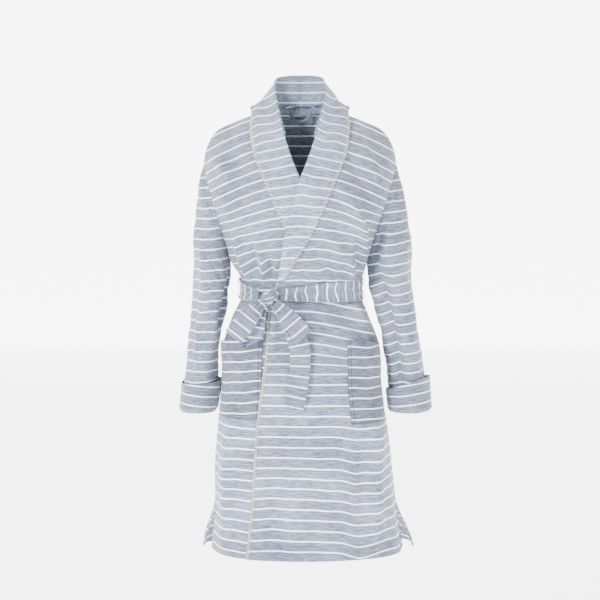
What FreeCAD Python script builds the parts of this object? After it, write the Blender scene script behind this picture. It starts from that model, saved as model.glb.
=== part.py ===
"""A knee-length wrap bathrobe with a shawl collar, patch pockets, turned-back cuffs and a tied sash.

Frame: millimetres, +X to the wearer's left, +Y to the back, +Z up. The origin lies on the body's
midline at the height of the shoulder seams' neck ends, where a dress form's neck stands.
Every piece of cloth is a thin closed solid in its own node. The left front laps over the right.
"""
import FreeCAD, Part
import math
import os

V = FreeCAD.Vector
os.makedirs("parts", exist_ok=True)

# ---- driving dimensions ----
CLOTH = 2.0             # thickness of one ply as modelled
SEAM = 0.4              # clearance from a seam plane to each ply beside it
HEM_Z = -1115.0
UNDERARM_Z = -385.0
WAIST_Z = -457.0
SASH_WIDTH = 50.0
SASH_THICK = 4.0
LAP_SKIRT = 6.5         # how far the left front stands off the right front below the waist
LAP_CHEST = 13.0        # and above it, where a collar lies between them
ROUNDNESS = 2.3         # exponent of the body's cross-section, 2 for an ellipse
HEM_DEPTH = 38.0
FACING_WIDTH = 75.0
VENT_TOP_Z = -985.0
COLLAR_THICK = 3.0

# Body stations: height, half-width on the wearer's right and left, depth to the front and to the back.
STATIONS = [
    (-1115, 224, 262, 178, 172),
    (-1000, 212, 244, 168, 162),
    (-830, 209, 224, 158, 152),
    (-700, 199, 205, 148, 144),
    (-600, 193, 200, 137, 134),
    (-525, 168, 172, 122, 118),
    (-481, 148, 154, 108, 104),
    (-433, 148, 154, 108, 104),
    (-385, 174, 168, 124, 112),
]
VENT_FLARE = (18.0, 28.0)     # how far the back hem stands past the front hem, wearer's right and left

# Front edge of a front panel below the underarm: height, distance past the midline.
FRONT_EDGE = [(-1115, 128), (-955, 113), (-830, 107), (-740, 98), (-620, 82), (-520, 76), (-457, 58),
              (-385, 45)]

ARMHOLE_TOP = (242.0, -150.0)     # x and z of the armhole seam's upper end
ARMHOLE_DEPTH = 58.0
NECK_POINT = (70.0, 14.0, 0.0)
NECK_SHARE = 0.75         # share of a half-back's width along its shoulder seam, the rest is neck seam

# Shoulder seam from the armhole to the neck, and the back neck seam from there to the midline.
SHOULDER = [(242, 0, -150), (233, 0, -105), (208, 3, -64), (160, 7, -40), (115, 11, -22), NECK_POINT]
BACK_NECK = [(40, 44, -5), (0, 56, -8)]
BACK_MIDLINE = [(0, 112, -385), (0, 120, -280), (0, 116, -180), (0, 96, -85), (0, 56, -8)]
# Neckline of a front panel, with x counted past the midline away from the panel's own side.
NECKLINE = [(45, -124, -385), (36, -134, -325), (22, -138, -255), (3, -135, -190), (-20, -118, -130),
            (-40, -84, -70),
            (-57, -38, -20), (-70, 14, 0)]

# Collar roll line and outer edge from the waist to the midline at the back.
# A y of None lies on the front panel.
ROLL = [(53, None, -430), (42, None, -345), (26, None, -268), (6, None, -196), (-18, -128, -138),
        (-38, -94, -76),
        (-53, -52, -12), (-64, -6, 44), (-60, 34, 68), (-36, 62, 76), (0, 72, 78)]
EDGE = [(38, None, -431), (4, None, -372), (-42, None, -292), (-86, None, -192), (-114, None, -118),
        (-123, -60, -58), (-119, -8, -11), (-110, 44, -13), (-84, 88, -30), (-44, 110, -36), (0, 116, -38)]
STAND_FOOT = [(-38, -76, -72), (-55, -32, -18), (-67, 12, 3), (-56, 34, 2), (-33, 49, -1), (0, 59, -3)]

# Sleeve stations below the armhole: height, centre x, centre y, half-width, half-depth.
SLEEVES = {
    1: [(-395, 226, 2, 52, 74), (-500, 238, 4, 49, 72), (-600, 257, 8, 46, 69), (-700, 270, 10, 48, 67),
        (-764, 277, 12, 50, 66)],
    -1: [(-395, 222, 2, 46, 74), (-500, 229, 4, 42, 72), (-600, 242, 8, 40, 69), (-700, 251, 10, 41, 67),
         (-764, 258, 12, 43, 66)],
}
CUFF_TOP_Z = -690.0
CUFF_DROP = 5.0
CUFF_STANDOFF = 3.5

# Pockets: from and to degrees, bottom and top heights.
POCKET = {1: (31.0, 78.0, -783.0, -577.0), -1: (25.0, 74.0, -773.0, -572.0)}
POCKET_GAPE = 15.0
POCKET_HEM = 25.0

KNOT_ANGLE = -27.0        # degrees round the body from the front midline, towards the wearer's right
KNOT_SIZE = (44.0, 26.0, 42.0)

# Line that the loose lower front corner turns about: its upper and lower ends as x and z.
FLAP_TOP = (-100.0, -742.0)
FLAP_FOOT = (62.0, -1118.0)
FLAP_CUT = 0.8


# ---- small maths ----
def smooth(t):
    t = max(0.0, min(1.0, t))
    return t * t * (3 - 2 * t)


def through(points, t):
    """A smooth curve through points, at t from 0 to 1."""
    n = len(points) - 1
    i = min(int(t * n), n - 1)
    f = t * n - i
    p0, p1 = points[max(i - 1, 0)], points[i]
    p2, p3 = points[i + 1], points[min(i + 2, n)]
    out = []
    for a, b, c, d in zip(p0, p1, p2, p3):
        out.append(b + 0.5 * f * (c - a + f * (2 * a - 5 * b + 4 * c - d + f * (3 * (b - c) + d - a))))
    return out


def at_height(rows, z):
    """The values at height z on smooth curves through rows that start with their height."""
    last = len(rows) - 1
    z = max(rows[0][0], min(rows[last][0], z))
    i = max(k for k in range(last) if rows[k][0] <= z)
    before, here, there, after = [rows[max(0, min(last, i + k))] for k in (-1, 0, 1, 2)]
    span = there[0] - here[0]
    f = (z - here[0]) / span
    out = []
    for p, a, b, q in zip(before[1:], here[1:], there[1:], after[1:]):
        slope_a = (b - p) / (there[0] - before[0]) * span
        slope_b = (q - a) / (after[0] - here[0]) * span
        out.append(a + f * slope_a + f * f * (3 * (b - a) - 2 * slope_a - slope_b)
                   + f ** 3 * (2 * (a - b) + slope_a + slope_b))
    return out


def lap(z):
    """How far the left front stands off the right front at height z."""
    return LAP_SKIRT + (LAP_CHEST - LAP_SKIRT) * smooth((z + 490) / 90)


# ---- the body's surface ----
def ring(degrees, z, off=0.0, back_flare=False):
    """A point off mm outside the body at an angle from the front midline, positive to the wearer's left."""
    right, left, front, back = at_height(STATIONS, z)
    side = 0 if degrees < 0 else 1
    width = (right, left)[side] + off
    if back_flare:
        width += VENT_FLARE[side] * smooth((VENT_TOP_Z - z) / (VENT_TOP_Z - HEM_Z))
    a = math.radians(degrees)
    sx, cy = math.sin(a), math.cos(a)
    x = math.copysign(width * abs(sx) ** (2 / ROUNDNESS), sx)
    depth = (front if cy > 0 else back) + off
    return V(x, -math.copysign(depth * abs(cy) ** (2 / ROUNDNESS), cy), z)


def angle_at(x, z):
    """The angle at which the body's front has that x."""
    right, left, _, _ = at_height(STATIONS, z)
    half = left if x > 0 else right
    sine = min(1.0, (abs(x) / half) ** (ROUNDNESS / 2))
    return math.copysign(math.degrees(math.asin(sine)), x)


def stand_off(side, degrees, z):
    """The left front's distance outside the body, nothing at its side seam."""
    return lap(z) * smooth((90 - abs(degrees)) / 55) if side > 0 else 0.0


def front_row(side, z, t, off=0.0, start=90.0, stop=None):
    """A point across a front panel below the underarm, from its side seam to its front edge."""
    stop = angle_at(-side * at_height(FRONT_EDGE, z)[0], z) if stop is None else stop
    d = side * start + (stop - side * start) * t
    return ring(d, z, stand_off(side, d, z) + off)


def armhole(side, t, back=False):
    """The armhole seam from the underarm at t 0 to its top at t 1."""
    under = V(*ring(side * 90, UNDERARM_Z))
    top = V(side * ARMHOLE_TOP[0], 0, ARMHOLE_TOP[1])
    p = under + (top - under) * t
    p.y = (1 if back else -1) * ARMHOLE_DEPTH * math.sin(math.pi * t) ** 1.15
    return p


def armhole_normal(side):
    under = V(*ring(side * 90, UNDERARM_Z))
    along = V(side * ARMHOLE_TOP[0], 0, ARMHOLE_TOP[1]) - under
    n = V(along.z, 0, -along.x)
    n.normalize()
    return n if n.x * side > 0 else -n


def coons(bottom, top, left, right, s, t):
    """A point of the patch between four edge curves that meet at its corners."""
    ruled = bottom(s) * (1 - t) + top(s) * t + left(t) * (1 - s) + right(t) * s
    low_corners = bottom(0) * (1 - s) * (1 - t) + bottom(1) * s * (1 - t)
    corners = low_corners + top(0) * (1 - s) * t + top(1) * s * t
    return ruled - corners


def shoulder(side, u):
    return V(*through([(side * x, y, z) for x, y, z in SHOULDER], u))


def chest(side, s, t):
    """A front panel above the underarm: s from armhole to neckline, t from underarm to shoulder."""
    forward = lap(UNDERARM_Z) if side > 0 else 0.0

    def neckline(u):
        x, y, z = through(NECKLINE, u)
        return V(-side * x, y - forward * (1 - u ** 3), z)

    foot = neckline(0)
    row_end = front_row(side, UNDERARM_Z, 1)
    return coons(lambda u: front_row(side, UNDERARM_Z, u) + (foot - row_end) * u,
                 lambda u: shoulder(side, u), lambda u: armhole(side, u), neckline, s, t)


def shoulder_blade(side, s, t):
    """Half the back panel above the underarm: s from armhole to midline."""
    neck = [(side * x, y, z) for x, y, z in [NECK_POINT] + BACK_NECK]

    def seam(u):
        return shoulder(side, u / NECK_SHARE) if u < NECK_SHARE else V(*through(neck, (u - NECK_SHARE)
                                                                                / (1 - NECK_SHARE)))

    return coons(lambda u: ring(side * (90 + 90 * u), UNDERARM_Z), seam,
                 lambda u: armhole(side, u, back=True), lambda u: V(*through(BACK_MIDLINE, u)), s, t)


# ---- solids ----
def inward_grid(grid, thick, planes, closed=False):
    """The grid moved to its inner side by thick.

    Along the edges named in planes it stays in that edge's plane.
    """
    rows, cols = len(grid), len(grid[0])
    out = []
    for i in range(rows):
        line = []
        for j in range(cols):
            right = (j + 1) % cols if closed else min(j + 1, cols - 1)
            left = j - 1 if closed else max(j - 1, 0)
            along = grid[min(i + 1, rows - 1)][j] - grid[max(i - 1, 0)][j]
            n = along.cross(grid[i][right] - grid[i][left])
            n.normalize()
            edges = {"first_row": i == 0, "last_row": i == rows - 1,
                     "first_col": j == 0, "last_col": j == cols - 1}
            for name, plane in planes.items():
                if edges[name]:
                    n = n - plane * n.dot(plane)
                    n = n * min(1 / n.Length ** 2, 2.2 / n.Length)
            line.append(grid[i][j] + n * thick)
        out.append(line)
    return out


def surface_through(grid):
    surface = Part.BSplineSurface()
    surface.interpolate(grid)
    return surface


def laid_on(surface, point, off):
    """The point of a surface nearest to point, moved off mm away from the body's middle."""
    u, v = surface.parameter(point)
    foot, normal = surface.value(u, v), surface.normal(u, v)
    outward = foot - V(0, 0, foot.z - (120 if foot.z > UNDERARM_Z else 0))
    return foot + normal * (off if normal.dot(outward) > 0 else -off)


def sheet(grid, thick=CLOTH, flip=False, planes=None):
    """A closed solid ply: grid's points lie on its outer face, and flip changes which side is inner."""
    surfaces = [surface_through(points) for points in (grid, inward_grid(grid, -thick if flip else thick,
                                                                         planes or {}))]
    faces = [s.toShape() for s in surfaces]
    for end in range(4):
        edges = [(s.uIso if end < 2 else s.vIso)(s.bounds()[end]).toShape() for s in surfaces]
        faces.append(Part.makeRuledSurface(edges[0], edges[1], 1))
    shell = Part.makeShell(faces)
    shell.sewShape()
    solid = Part.makeSolid(shell)
    if solid.Volume < 0:
        solid.reverse()
    return solid


def grid_of(point, rows, cols):
    return [[point(i / (rows - 1), j / (cols - 1)) for j in range(cols)] for i in range(rows)]


def tube(rings, thick, planes, flip=False):
    """A closed tube wall through rings of points; its two end rings lie in the planes given."""
    inner_rings = inward_grid(rings, -thick if flip else thick, planes, closed=True)
    outer, inner = [surface_through([ring_points + ring_points[:1] for ring_points in group])
                    for group in (rings, inner_rings)]
    faces = [outer.toShape(), inner.toShape()]
    for end in (0, 1):
        faces.append(Part.makeRuledSurface(outer.uIso(outer.bounds()[end]).toShape(),
                                           inner.uIso(inner.bounds()[end]).toShape(), 1))
    shell = Part.makeShell(faces)
    shell.sewShape()
    solid = Part.makeSolid(shell)
    if solid.Volume < 0:
        solid.reverse()
    return solid


def export(name, shape):
    if shape.ShapeType == "Compound" and len(shape.Solids) == 1:
        shape = shape.Solids[0]
    good = shape.isValid() and all(s.isClosed() for s in shape.Solids) and shape.Volume > 0
    state = "" if good else "BAD"
    print(f"{name:28s} solids {len(shape.Solids)} volume {shape.Volume / 1000:8.1f} cm3 {state}")
    shape.exportStep(f"parts/{name}.step")


def panel_levels(lowest, highest, count):
    return [lowest + (highest - lowest) * i / (count - 1) for i in range(count)]


# ---- body panels ----
SKIRT_ROWS = panel_levels(HEM_Z, UNDERARM_Z - 18, 28) + [UNDERARM_Z - 7, UNDERARM_Z]
CHEST_ROWS = [0.03, 0.08, 0.16, 0.26, 0.38, 0.5, 0.62, 0.74, 0.85, 0.94, 1]


def front_panel(side):
    """A front from hem to shoulder; its seams lie SEAM short of the seam planes."""
    cols = 17
    rows = [[front_row(side, z, j / (cols - 1)) for j in range(cols)] for z in SKIRT_ROWS]
    rows += [[chest(side, j / (cols - 1), t) for j in range(cols)] for t in CHEST_ROWS]
    lower = len(SKIRT_ROWS)
    for i, line in enumerate(rows):
        line[0] = line[0] - (armhole_normal(side) * SEAM if i >= lower else V(0, SEAM, 0))
    rows[-1] = [p - V(0, SEAM, 0) for p in rows[-1]]
    return rows


def back_panel():
    cols = 33
    rows = []
    for z in SKIRT_ROWS:
        line = []
        for j in range(cols):
            turned = 90 + 180 * j / (cols - 1)
            line.append(ring(turned if j <= cols // 2 else turned - 360, z, 0.0, True))
        rows.append(line)
    for t in CHEST_ROWS:
        line = []
        for j in range(cols):
            s = 2 * j / (cols - 1)
            line.append(shoulder_blade(1, s, t) if s <= 1 else shoulder_blade(-1, 2 - s, t))
        rows.append(line)
    for i, line in enumerate(rows):
        for j, side in ((0, 1), (-1, -1)):
            line[j] = line[j] + (V(0, SEAM, 0) if i < len(SKIRT_ROWS) else -armhole_normal(side) * SEAM)
    rows[-1] = [p + V(0, SEAM, 0) for p in rows[-1]]
    return rows


def make_panel_surfaces():
    found = {side: surface_through(front_panel(side)) for side in (1, -1)}
    found["back"] = surface_through(back_panel())
    return found


SURFACES = make_panel_surfaces()


def on_front(side, x, z, off):
    """A point off mm in front of the front panel near that x and z."""
    if z < UNDERARM_Z:
        d = angle_at(x, z)
        guess = ring(d, z, stand_off(side, d, z))
    else:
        u, v = SURFACES[side].parameter(V(x, -130, z))
        guess = V(x, SURFACES[side].value(u, v).y, z)
    return laid_on(SURFACES[side], guess, off)


def flap_slab():
    """A thin slab along the line that the lower front corner turns about."""
    top, foot = V(FLAP_TOP[0], -185, FLAP_TOP[1]), V(FLAP_FOOT[0], -185, FLAP_FOOT[1])
    along = foot - top
    reach, back = 60.0, 80.0
    slab = Part.makeBox(along.Length + reach, back, FLAP_CUT, V(-reach, -back / 2, -FLAP_CUT / 2))
    slab.Placement = FreeCAD.Placement(V(top.x, -150, top.z), FreeCAD.Rotation(V(1, 0, 0), along))
    return slab


def split_at_flap(shape):
    """The shape cut along that line: (what stays, what turns)."""
    pieces = shape.cut(flap_slab()).Solids
    along = V(FLAP_FOOT[0] - FLAP_TOP[0], 0, FLAP_FOOT[1] - FLAP_TOP[1])
    stays, turns = [], []
    for p in pieces:
        c = p.CenterOfMass
        across = (c.x - FLAP_TOP[0]) * along.z - (c.z - FLAP_TOP[1]) * along.x
        (turns if across > 0 else stays).append(p)
    return stays, turns


def joined(solids):
    return solids[0] if len(solids) == 1 else Part.makeCompound(solids)


def front_strip(side, from_edge, to_edge, low, high, off, rows, cols):
    """A strip along a front's edge between two distances from it, off mm from the panel's outer face."""

    def point(z, u):
        x = -side * (at_height(FRONT_EDGE, z)[0] - from_edge - (to_edge - from_edge) * u)
        d = angle_at(x, z)
        return laid_on(SURFACES[side], ring(d, z, stand_off(side, d, z)), off)

    return [[point(z, j / (cols - 1)) for j in range(cols)] for z in panel_levels(low, high, rows)]


def edge_trim(side, low, high, rows):
    """A narrow border just beyond a front's edge, in line with the panel."""
    trim = []
    for z in panel_levels(low, high, rows):
        edge = front_row(side, z, 1)
        onward = edge - front_row(side, z, 0.97)
        onward.normalize()
        trim.append([edge + onward * step for step in (1.5, 2.5, 3.5)])
    return trim


def hem_rows(side):
    """The turned-up hem inside a front, from its vent to its facing."""
    rows = []
    for z in panel_levels(HEM_Z + 1, HEM_Z + HEM_DEPTH, 3):
        edge = at_height(FRONT_EDGE, z)[0] - FACING_WIDTH - 2
        stop = angle_at(-side * edge, z)
        rows.append([laid_on(SURFACES[side], front_row(side, z, j / 14, 0, 86.0, stop), -CLOTH - 0.7)
                     for j in range(15)])
    return rows


def make_fronts():
    for side, name in ((1, "left"), (-1, "right")):
        low = HEM_Z + 1
        parts = {
            "front_panel": sheet(front_panel(side), CLOTH, side > 0,
                                 {"first_col": V(0, 1, 0), "last_row": V(0, 1, 0)}),
            "front_facing": sheet(front_strip(side, 1.0, FACING_WIDTH, low, -500, -CLOTH - 0.7, 24, 6),
                                  CLOTH * 0.7, side < 0),
            "front_edging": sheet(edge_trim(side, low, -445, 21), 1.6, side < 0),
            "front_hem": sheet(hem_rows(side), CLOTH * 0.7, side > 0),
        }
        for label, part in parts.items():
            if side > 0:
                stays, turns = split_at_flap(part)
                export(f"left_{label}", joined(stays))
                export(f"flap_{label.replace('front_', '')}", joined(turns))
            else:
                export(f"right_{label}", part)


def make_back():
    export("back_panel", sheet(back_panel(), CLOTH, False, {"first_col": V(0, 1, 0), "last_col": V(0, 1, 0),
                                                            "last_row": V(0, 1, 0)}))
    hem = [[laid_on(SURFACES["back"], ring(d if d <= 180 else d - 360, z, 0, True), -CLOTH - 0.8)
            for d in range(95, 266, 5)] for z in panel_levels(HEM_Z + 1, HEM_Z + HEM_DEPTH, 3)]
    export("back_hem", sheet(hem, CLOTH * 0.7))


# ---- sleeves ----
RING_POINTS = 16
SLEEVE_ROWS = [0, 0.06, 0.15, 0.28, 0.42, 0.56, 0.7, 0.8, 0.9, 1]


def sleeve_section(side, a, z, grow=0.0):
    """A point of the sleeve's section at height z; a is 0 at its outer side, a quarter turn at its front."""
    rows = sorted([list(row) for row in SLEEVES[side]])
    cx, cy, hw, hd = at_height(rows, z)
    return V(side * (cx + (hw + grow) * math.cos(a)), cy - (hd + grow) * math.sin(a), z)


def sleeve_point(side, a, t):
    """The sleeve from its armhole at t 0 to its lower edge at t 1."""
    start = armhole(side, (1 + math.cos(a)) / 2, back=math.sin(a) < 0) + armhole_normal(side) * SEAM
    z = start.z + (SLEEVES[side][-1][0] - start.z) * t
    u = min(1.0, (start.z - z) / 230)
    w = u * (2 - u)
    goal = sleeve_section(side, a, z)
    return V(start.x + (goal.x - start.x) * w, start.y + (goal.y - start.y) * w, z)


def make_sleeves():
    turn = [2 * math.pi * k / RING_POINTS for k in range(RING_POINTS)]
    for side, name in ((1, "left"), (-1, "right")):
        rings = [[sleeve_point(side, a, t) for a in turn] for t in SLEEVE_ROWS]
        planes = {"first_row": armhole_normal(side), "last_row": V(0, 0, 1)}
        export(f"{name}_sleeve", tube(rings, CLOTH, planes, side < 0))
        low = SLEEVES[side][-1][0]
        cuff = []
        for share in (0, 0.5, 1):
            z = low + (CUFF_TOP_Z - low) * share
            grow = CUFF_STANDOFF + CLOTH + 3 * share
            cuff.append([sleeve_section(side, a, z, grow) - V(0, 0, CUFF_DROP * (1 - share)) for a in turn])
        level = {"first_row": V(0, 0, 1), "last_row": V(0, 0, 1)}
        export(f"{name}_cuff", tube(cuff, CLOTH, level, side > 0))


# ---- collar ----
def collar_line(side, row, off, count):
    """Points of a list that runs from the waist to the midline at the back, off mm outside the front."""
    points = []
    for x, y, z in row:
        x = -side * x
        points.append(on_front(side, x, z, off) if y is None else V(x, y, z))
    line = [V(*through([tuple(p) for p in points], i / (count - 1))) for i in range(count)]
    line[-1].x = side * 2 * SEAM
    return line


def kept_off(side, point, off):
    """The point moved outward where it is nearer than off mm to the front or the back panel."""
    for key in (side, "back"):
        foot = laid_on(SURFACES[key], point, 0)
        outward = laid_on(SURFACES[key], point, 1) - foot
        gap = (point - foot).dot(outward)
        if gap < off and (point - foot).Length < 25:
            point = point + outward * (off - gap)
    return point


def softened(rows):
    """Rows of points with each inner row drawn half way to the mean of its neighbours."""
    inner = []
    for i in range(1, len(rows) - 1):
        inner.append([b * 0.5 + (a + c) * 0.25 for a, b, c in zip(*rows[i - 1:i + 2])])
    return rows[:1] + inner + rows[-1:]


def make_collar():
    count = 29
    for side, name in ((1, "left"), (-1, "right")):
        roll = collar_line(side, ROLL, COLLAR_THICK + 2.0, count)
        edge = collar_line(side, EDGE, COLLAR_THICK + 1.0, count)
        rows = []
        for i in range(count):
            spokes = [roll[i] * (1 - j / 6) + edge[i] * (j / 6) for j in range(7)]
            rows.append([p + collar_swell(p, i / (count - 1), j / 6) for j, p in enumerate(spokes)])
        for _ in range(3):
            rows = softened([[kept_off(side, p, COLLAR_THICK + 2.0) for p in line] for line in rows])
        rows = [[kept_off(side, p, COLLAR_THICK + 1.2) for p in line] for line in rows]
        rows[-1] = [V(side * 2 * SEAM, p.y, p.z) for p in rows[-1]]
        at_back = {"last_row": V(1, 0, 0)}
        export(f"{name}_collar", sheet(rows, COLLAR_THICK, side < 0, at_back))
        trim = []
        for line in rows:
            out = line[-1] - line[-2]
            out.normalize()
            trim.append([kept_off(side, line[-1] + out * step, 2.6) for step in (1.1, 2.1, 3.1)])
        export(f"{name}_collar_edging", sheet(trim, 1.6, side < 0, at_back))
        feet = [V(-side * x, y, z) for x, y, z in STAND_FOOT]
        stand = []
        for i in range(11):
            top = V(*through([tuple(p) for p in roll], (10 + i) / 20))
            foot = V(*through([tuple(p) for p in feet], i / 10))
            if i == 10:
                foot.x = side * 2 * SEAM
            inner = V(0 if i == 10 else -foot.x, -foot.y - 20, 0)
            inner.normalize()
            top = top - V(0, 0, 4) + inner * 4.7
            foot = foot + V(0, 0, 1) + inner * 4.5
            stand.append([foot * (1 - j / 3) + top * (j / 3) for j in range(4)])
        export(f"{name}_collar_stand", sheet(stand, CLOTH, side > 0, at_back))


def collar_swell(p, u, v):
    """The collar's fall bows out between its roll and its edge, most round the neck."""
    out = V(p.x, p.y, 0)
    if out.Length < 1:
        return V()
    out.normalize()
    around = smooth((u - 0.35) / 0.25)
    return out * (10 * around * math.sin(math.pi * v)) + V(0, -3 * (1 - around) * math.sin(math.pi * v), 0)


# ---- pockets ----
def pocket_point(side, u, v, off):
    start, stop, low, high = POCKET[side]
    d = side * (start + (stop - start) * u)
    z = low + (high - low) * v
    gape = POCKET_GAPE * math.sin(math.pi * u) * v ** 2
    return laid_on(SURFACES[side], ring(d, z, stand_off(side, d, z)), off + gape)


def make_pockets():
    for side, name in ((1, "left"), (-1, "right")):
        rows = grid_of(lambda v, u: pocket_point(side, u, v, CLOTH + 0.5), 9, 11)
        export(f"{name}_pocket", sheet(rows, CLOTH, side < 0))
        low, high = POCKET[side][2:]
        share = 1 - POCKET_HEM / (high - low)
        rise = 0.995 - share
        strip = grid_of(lambda v, u: pocket_point(side, 0.25 + 0.5 * u, share + rise * v, -0.1), 4, 9)
        export(f"{name}_pocket_hem", sheet(strip, CLOTH * 0.6, side < 0))


# ---- sash ----
def waist_point(degrees, z, off):
    near = degrees if degrees <= 180 else degrees - 360
    return ring(near, z, lap(WAIST_Z + SASH_WIDTH / 2) * smooth((90 - abs(near)) / 55) + off)


def knot_centre():
    return waist_point(KNOT_ANGLE, WAIST_Z, 12.0)


def strip_solid(centres, widths, thick):
    """A flat strip that faces the front, through centres, with a width at each."""
    rows = []
    for i in range(13):
        c = V(*through(centres, i / 12))
        w = through([(x,) for x in widths], i / 12)[0]
        rows.append([c + V(w * (j / 4 - 0.5), 0, 0) for j in range(5)])
    return sheet(rows, thick, True)


SASH_LOOSE = {
    "sash_long_tail": ([(-48, -146, -500), (-22, -154, -545), (2, -160, -600), (-6, -165, -670),
                        (-15, -170, -738)],
                       [34, 44, 51, 51, 51], 4.0),
    "sash_left_loop": ([(-52, -160, -500), (-32, -167, -522), (-12, -170, -545), (8, -172, -566)],
                       [34, 46, 50, 46], 8.0),
    "sash_short_tail": ([(-98, -132, -500), (-106, -140, -528), (-112, -145, -556), (-112, -149, -584)],
                        [26, 34, 38, 34], 4.0),
    "sash_right_loop": ([(-100, -149, -500), (-124, -156, -524), (-146, -161, -550), (-162, -163, -574)],
                        [32, 46, 52, 50], 8.0),
}


def make_sash():
    start, stop = KNOT_ANGLE + 9, KNOT_ANGLE + 351
    half = SASH_WIDTH / 2 - 1

    def point(v, u):
        d = start + (stop - start) * u
        return waist_point(d, WAIST_Z - half + 2 * half * v, 1.5 + SASH_THICK)

    export("sash_waistband", sheet(grid_of(point, 5, 61), SASH_THICK))
    w, d, h = KNOT_SIZE
    knot = Part.makeBox(w, d, h, V(-w / 2, -d / 2, -h / 2))
    knot = knot.makeFillet(9.0, knot.Edges)
    centre = knot_centre()
    turn = FreeCAD.Rotation(V(0, 0, 1), KNOT_ANGLE)
    knot.Placement = FreeCAD.Placement(centre + V(0, -6, -15), turn)
    band = Part.read("parts/sash_waistband.step")
    export("sash_knot", knot.cut(band).Solids[0] if knot.common(band).Volume > 0 else knot)
    for name, (centres, widths, thick) in SASH_LOOSE.items():
        export(name, strip_solid(centres, widths, thick))


def make_carriers():
    for side, name in ((1, "left"), (-1, "right")):
        out = 1.5 + SASH_THICK + 1.0
        high, low = WAIST_Z + SASH_WIDTH / 2 + 4, WAIST_Z - SASH_WIDTH / 2 - 4
        at_high, at_low = ring(side * 90, high).x, ring(side * 90, low).x
        outer = side * (max(abs(ring(side * 90, z).x) for z in (high, WAIST_Z, low)) + out)
        profile = [(at_high + side * 0.4, high), (outer + side * 3, high), (outer + side * 3, low),
                   (at_low + side * 0.4, low), (at_low + side * 0.4, low + 2), (outer, low + 2),
                   (outer, high - 2), (at_high + side * 0.4, high - 2)]
        wire = Part.makePolygon([V(x, -5, z) for x, z in profile + profile[:1]])
        export(f"{name}_sash_carrier", Part.Face(wire).extrude(V(0, 10, 0)))


# ---- hanging loop ----
HANG_LOOP = {"y": 41.0, "z": -14.0, "inner": 22.0, "outer": 29.0, "thick": 1.6}


def make_hanging_loop():
    h = HANG_LOOP
    base = V(0, h["y"], h["z"])
    disc = Part.makeCylinder(h["outer"], h["thick"], base, V(0, 1, 0))
    hole = Part.makeCylinder(h["inner"], h["thick"], base, V(0, 1, 0))
    upper = Part.makeBox(80, 10, 40, V(-40, h["y"] - 4, h["z"]))
    export("hanging_loop", disc.cut(hole).cut(upper))
    tape = grid_of(lambda v, u: neck_tape(u, v), 3, 13)
    export("back_neck_tape", sheet(tape, 1.2, True))


def neck_tape(u, v):
    """A tape over the seam between the back and the collar, on the inside."""
    side = 1 if u < 0.5 else -1
    s = abs(u - 0.5) * 2
    x, y, z = through([(0, 56, -8), (40, 44, -5), (62, 22, -2)], s)
    inner = V(-x, -y - 30, 0)
    inner.normalize()
    return V(side * x, y, z) + V(side * inner.x, inner.y, 0) * 3.6 + V(0, 0, -16 + 12 * v)


make_fronts()
make_back()
make_sleeves()
make_collar()
make_pockets()
make_sash()
make_carriers()
make_hanging_loop()
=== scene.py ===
import math
import bmesh
import bpy
import numpy as np
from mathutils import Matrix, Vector


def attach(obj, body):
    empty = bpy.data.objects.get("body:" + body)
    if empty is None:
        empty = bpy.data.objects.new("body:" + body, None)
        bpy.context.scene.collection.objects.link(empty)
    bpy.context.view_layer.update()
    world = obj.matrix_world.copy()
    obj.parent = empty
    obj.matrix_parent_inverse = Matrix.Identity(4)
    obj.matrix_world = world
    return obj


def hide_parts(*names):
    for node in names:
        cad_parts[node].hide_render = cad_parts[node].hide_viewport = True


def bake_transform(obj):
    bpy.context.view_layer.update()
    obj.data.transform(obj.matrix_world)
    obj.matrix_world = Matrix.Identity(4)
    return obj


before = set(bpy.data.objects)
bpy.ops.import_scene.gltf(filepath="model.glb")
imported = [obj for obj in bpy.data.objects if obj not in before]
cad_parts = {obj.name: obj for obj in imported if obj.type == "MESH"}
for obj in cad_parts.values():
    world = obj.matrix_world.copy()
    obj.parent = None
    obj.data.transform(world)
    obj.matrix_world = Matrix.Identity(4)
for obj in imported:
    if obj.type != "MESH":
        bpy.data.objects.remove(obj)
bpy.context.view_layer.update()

MM = 0.001

# ---------------------------------------------------------------- dimensions, in millimetres
CLOTH = 1.0
UNDER = 0.6  # gap between a panel and the ply behind it
HEM_Z, UNDERARM_Z, WAIST_Z = -1115.0, -385.0, -457.0
HEM_DEPTH, FACING, PITCH = 38.0, 75.0, 25.4
ROUNDNESS = 2.3  # 2 would be an ellipse, more is squarer
BACK_FLARE = (18.0, 28.0)  # how much wider the back's foot is, on the wearer's right and left
# Body outline: height, half width on the wearer's right and left, depth in front and behind.
STATIONS = [(-1115, 224, 262, 178, 172), (-1000, 212, 244, 168, 162), (-830, 209, 224, 158, 152),
            (-700, 199, 205, 148, 144), (-600, 193, 200, 137, 134), (-525, 168, 172, 122, 118),
            (-481, 148, 154, 108, 104), (-433, 148, 154, 108, 104), (-385, 174, 168, 124, 112)]
# Each front's free edge: height, distance past the middle.
FRONT_EDGE = [(-1115, 128), (-955, 113), (-830, 107), (-740, 98), (-620, 82), (-520, 76), (-457, 58),
              (-385, 45)]
# Points on the wearer's left: shoulder seam from the sleeve in, and the back's neckline.
SHOULDER = [(242, 0, -150), (233, 0, -105), (208, 3, -64), (160, 7, -40), (115, 11, -22), (70, 14, 0)]
NECK_BACK = [(70, 14, 0), (40, 44, -5), (0, 56, -8)]
BACK_MIDLINE = [(0, 112, -385), (0, 120, -280), (0, 116, -180), (0, 96, -85), (0, 56, -8)]
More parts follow.
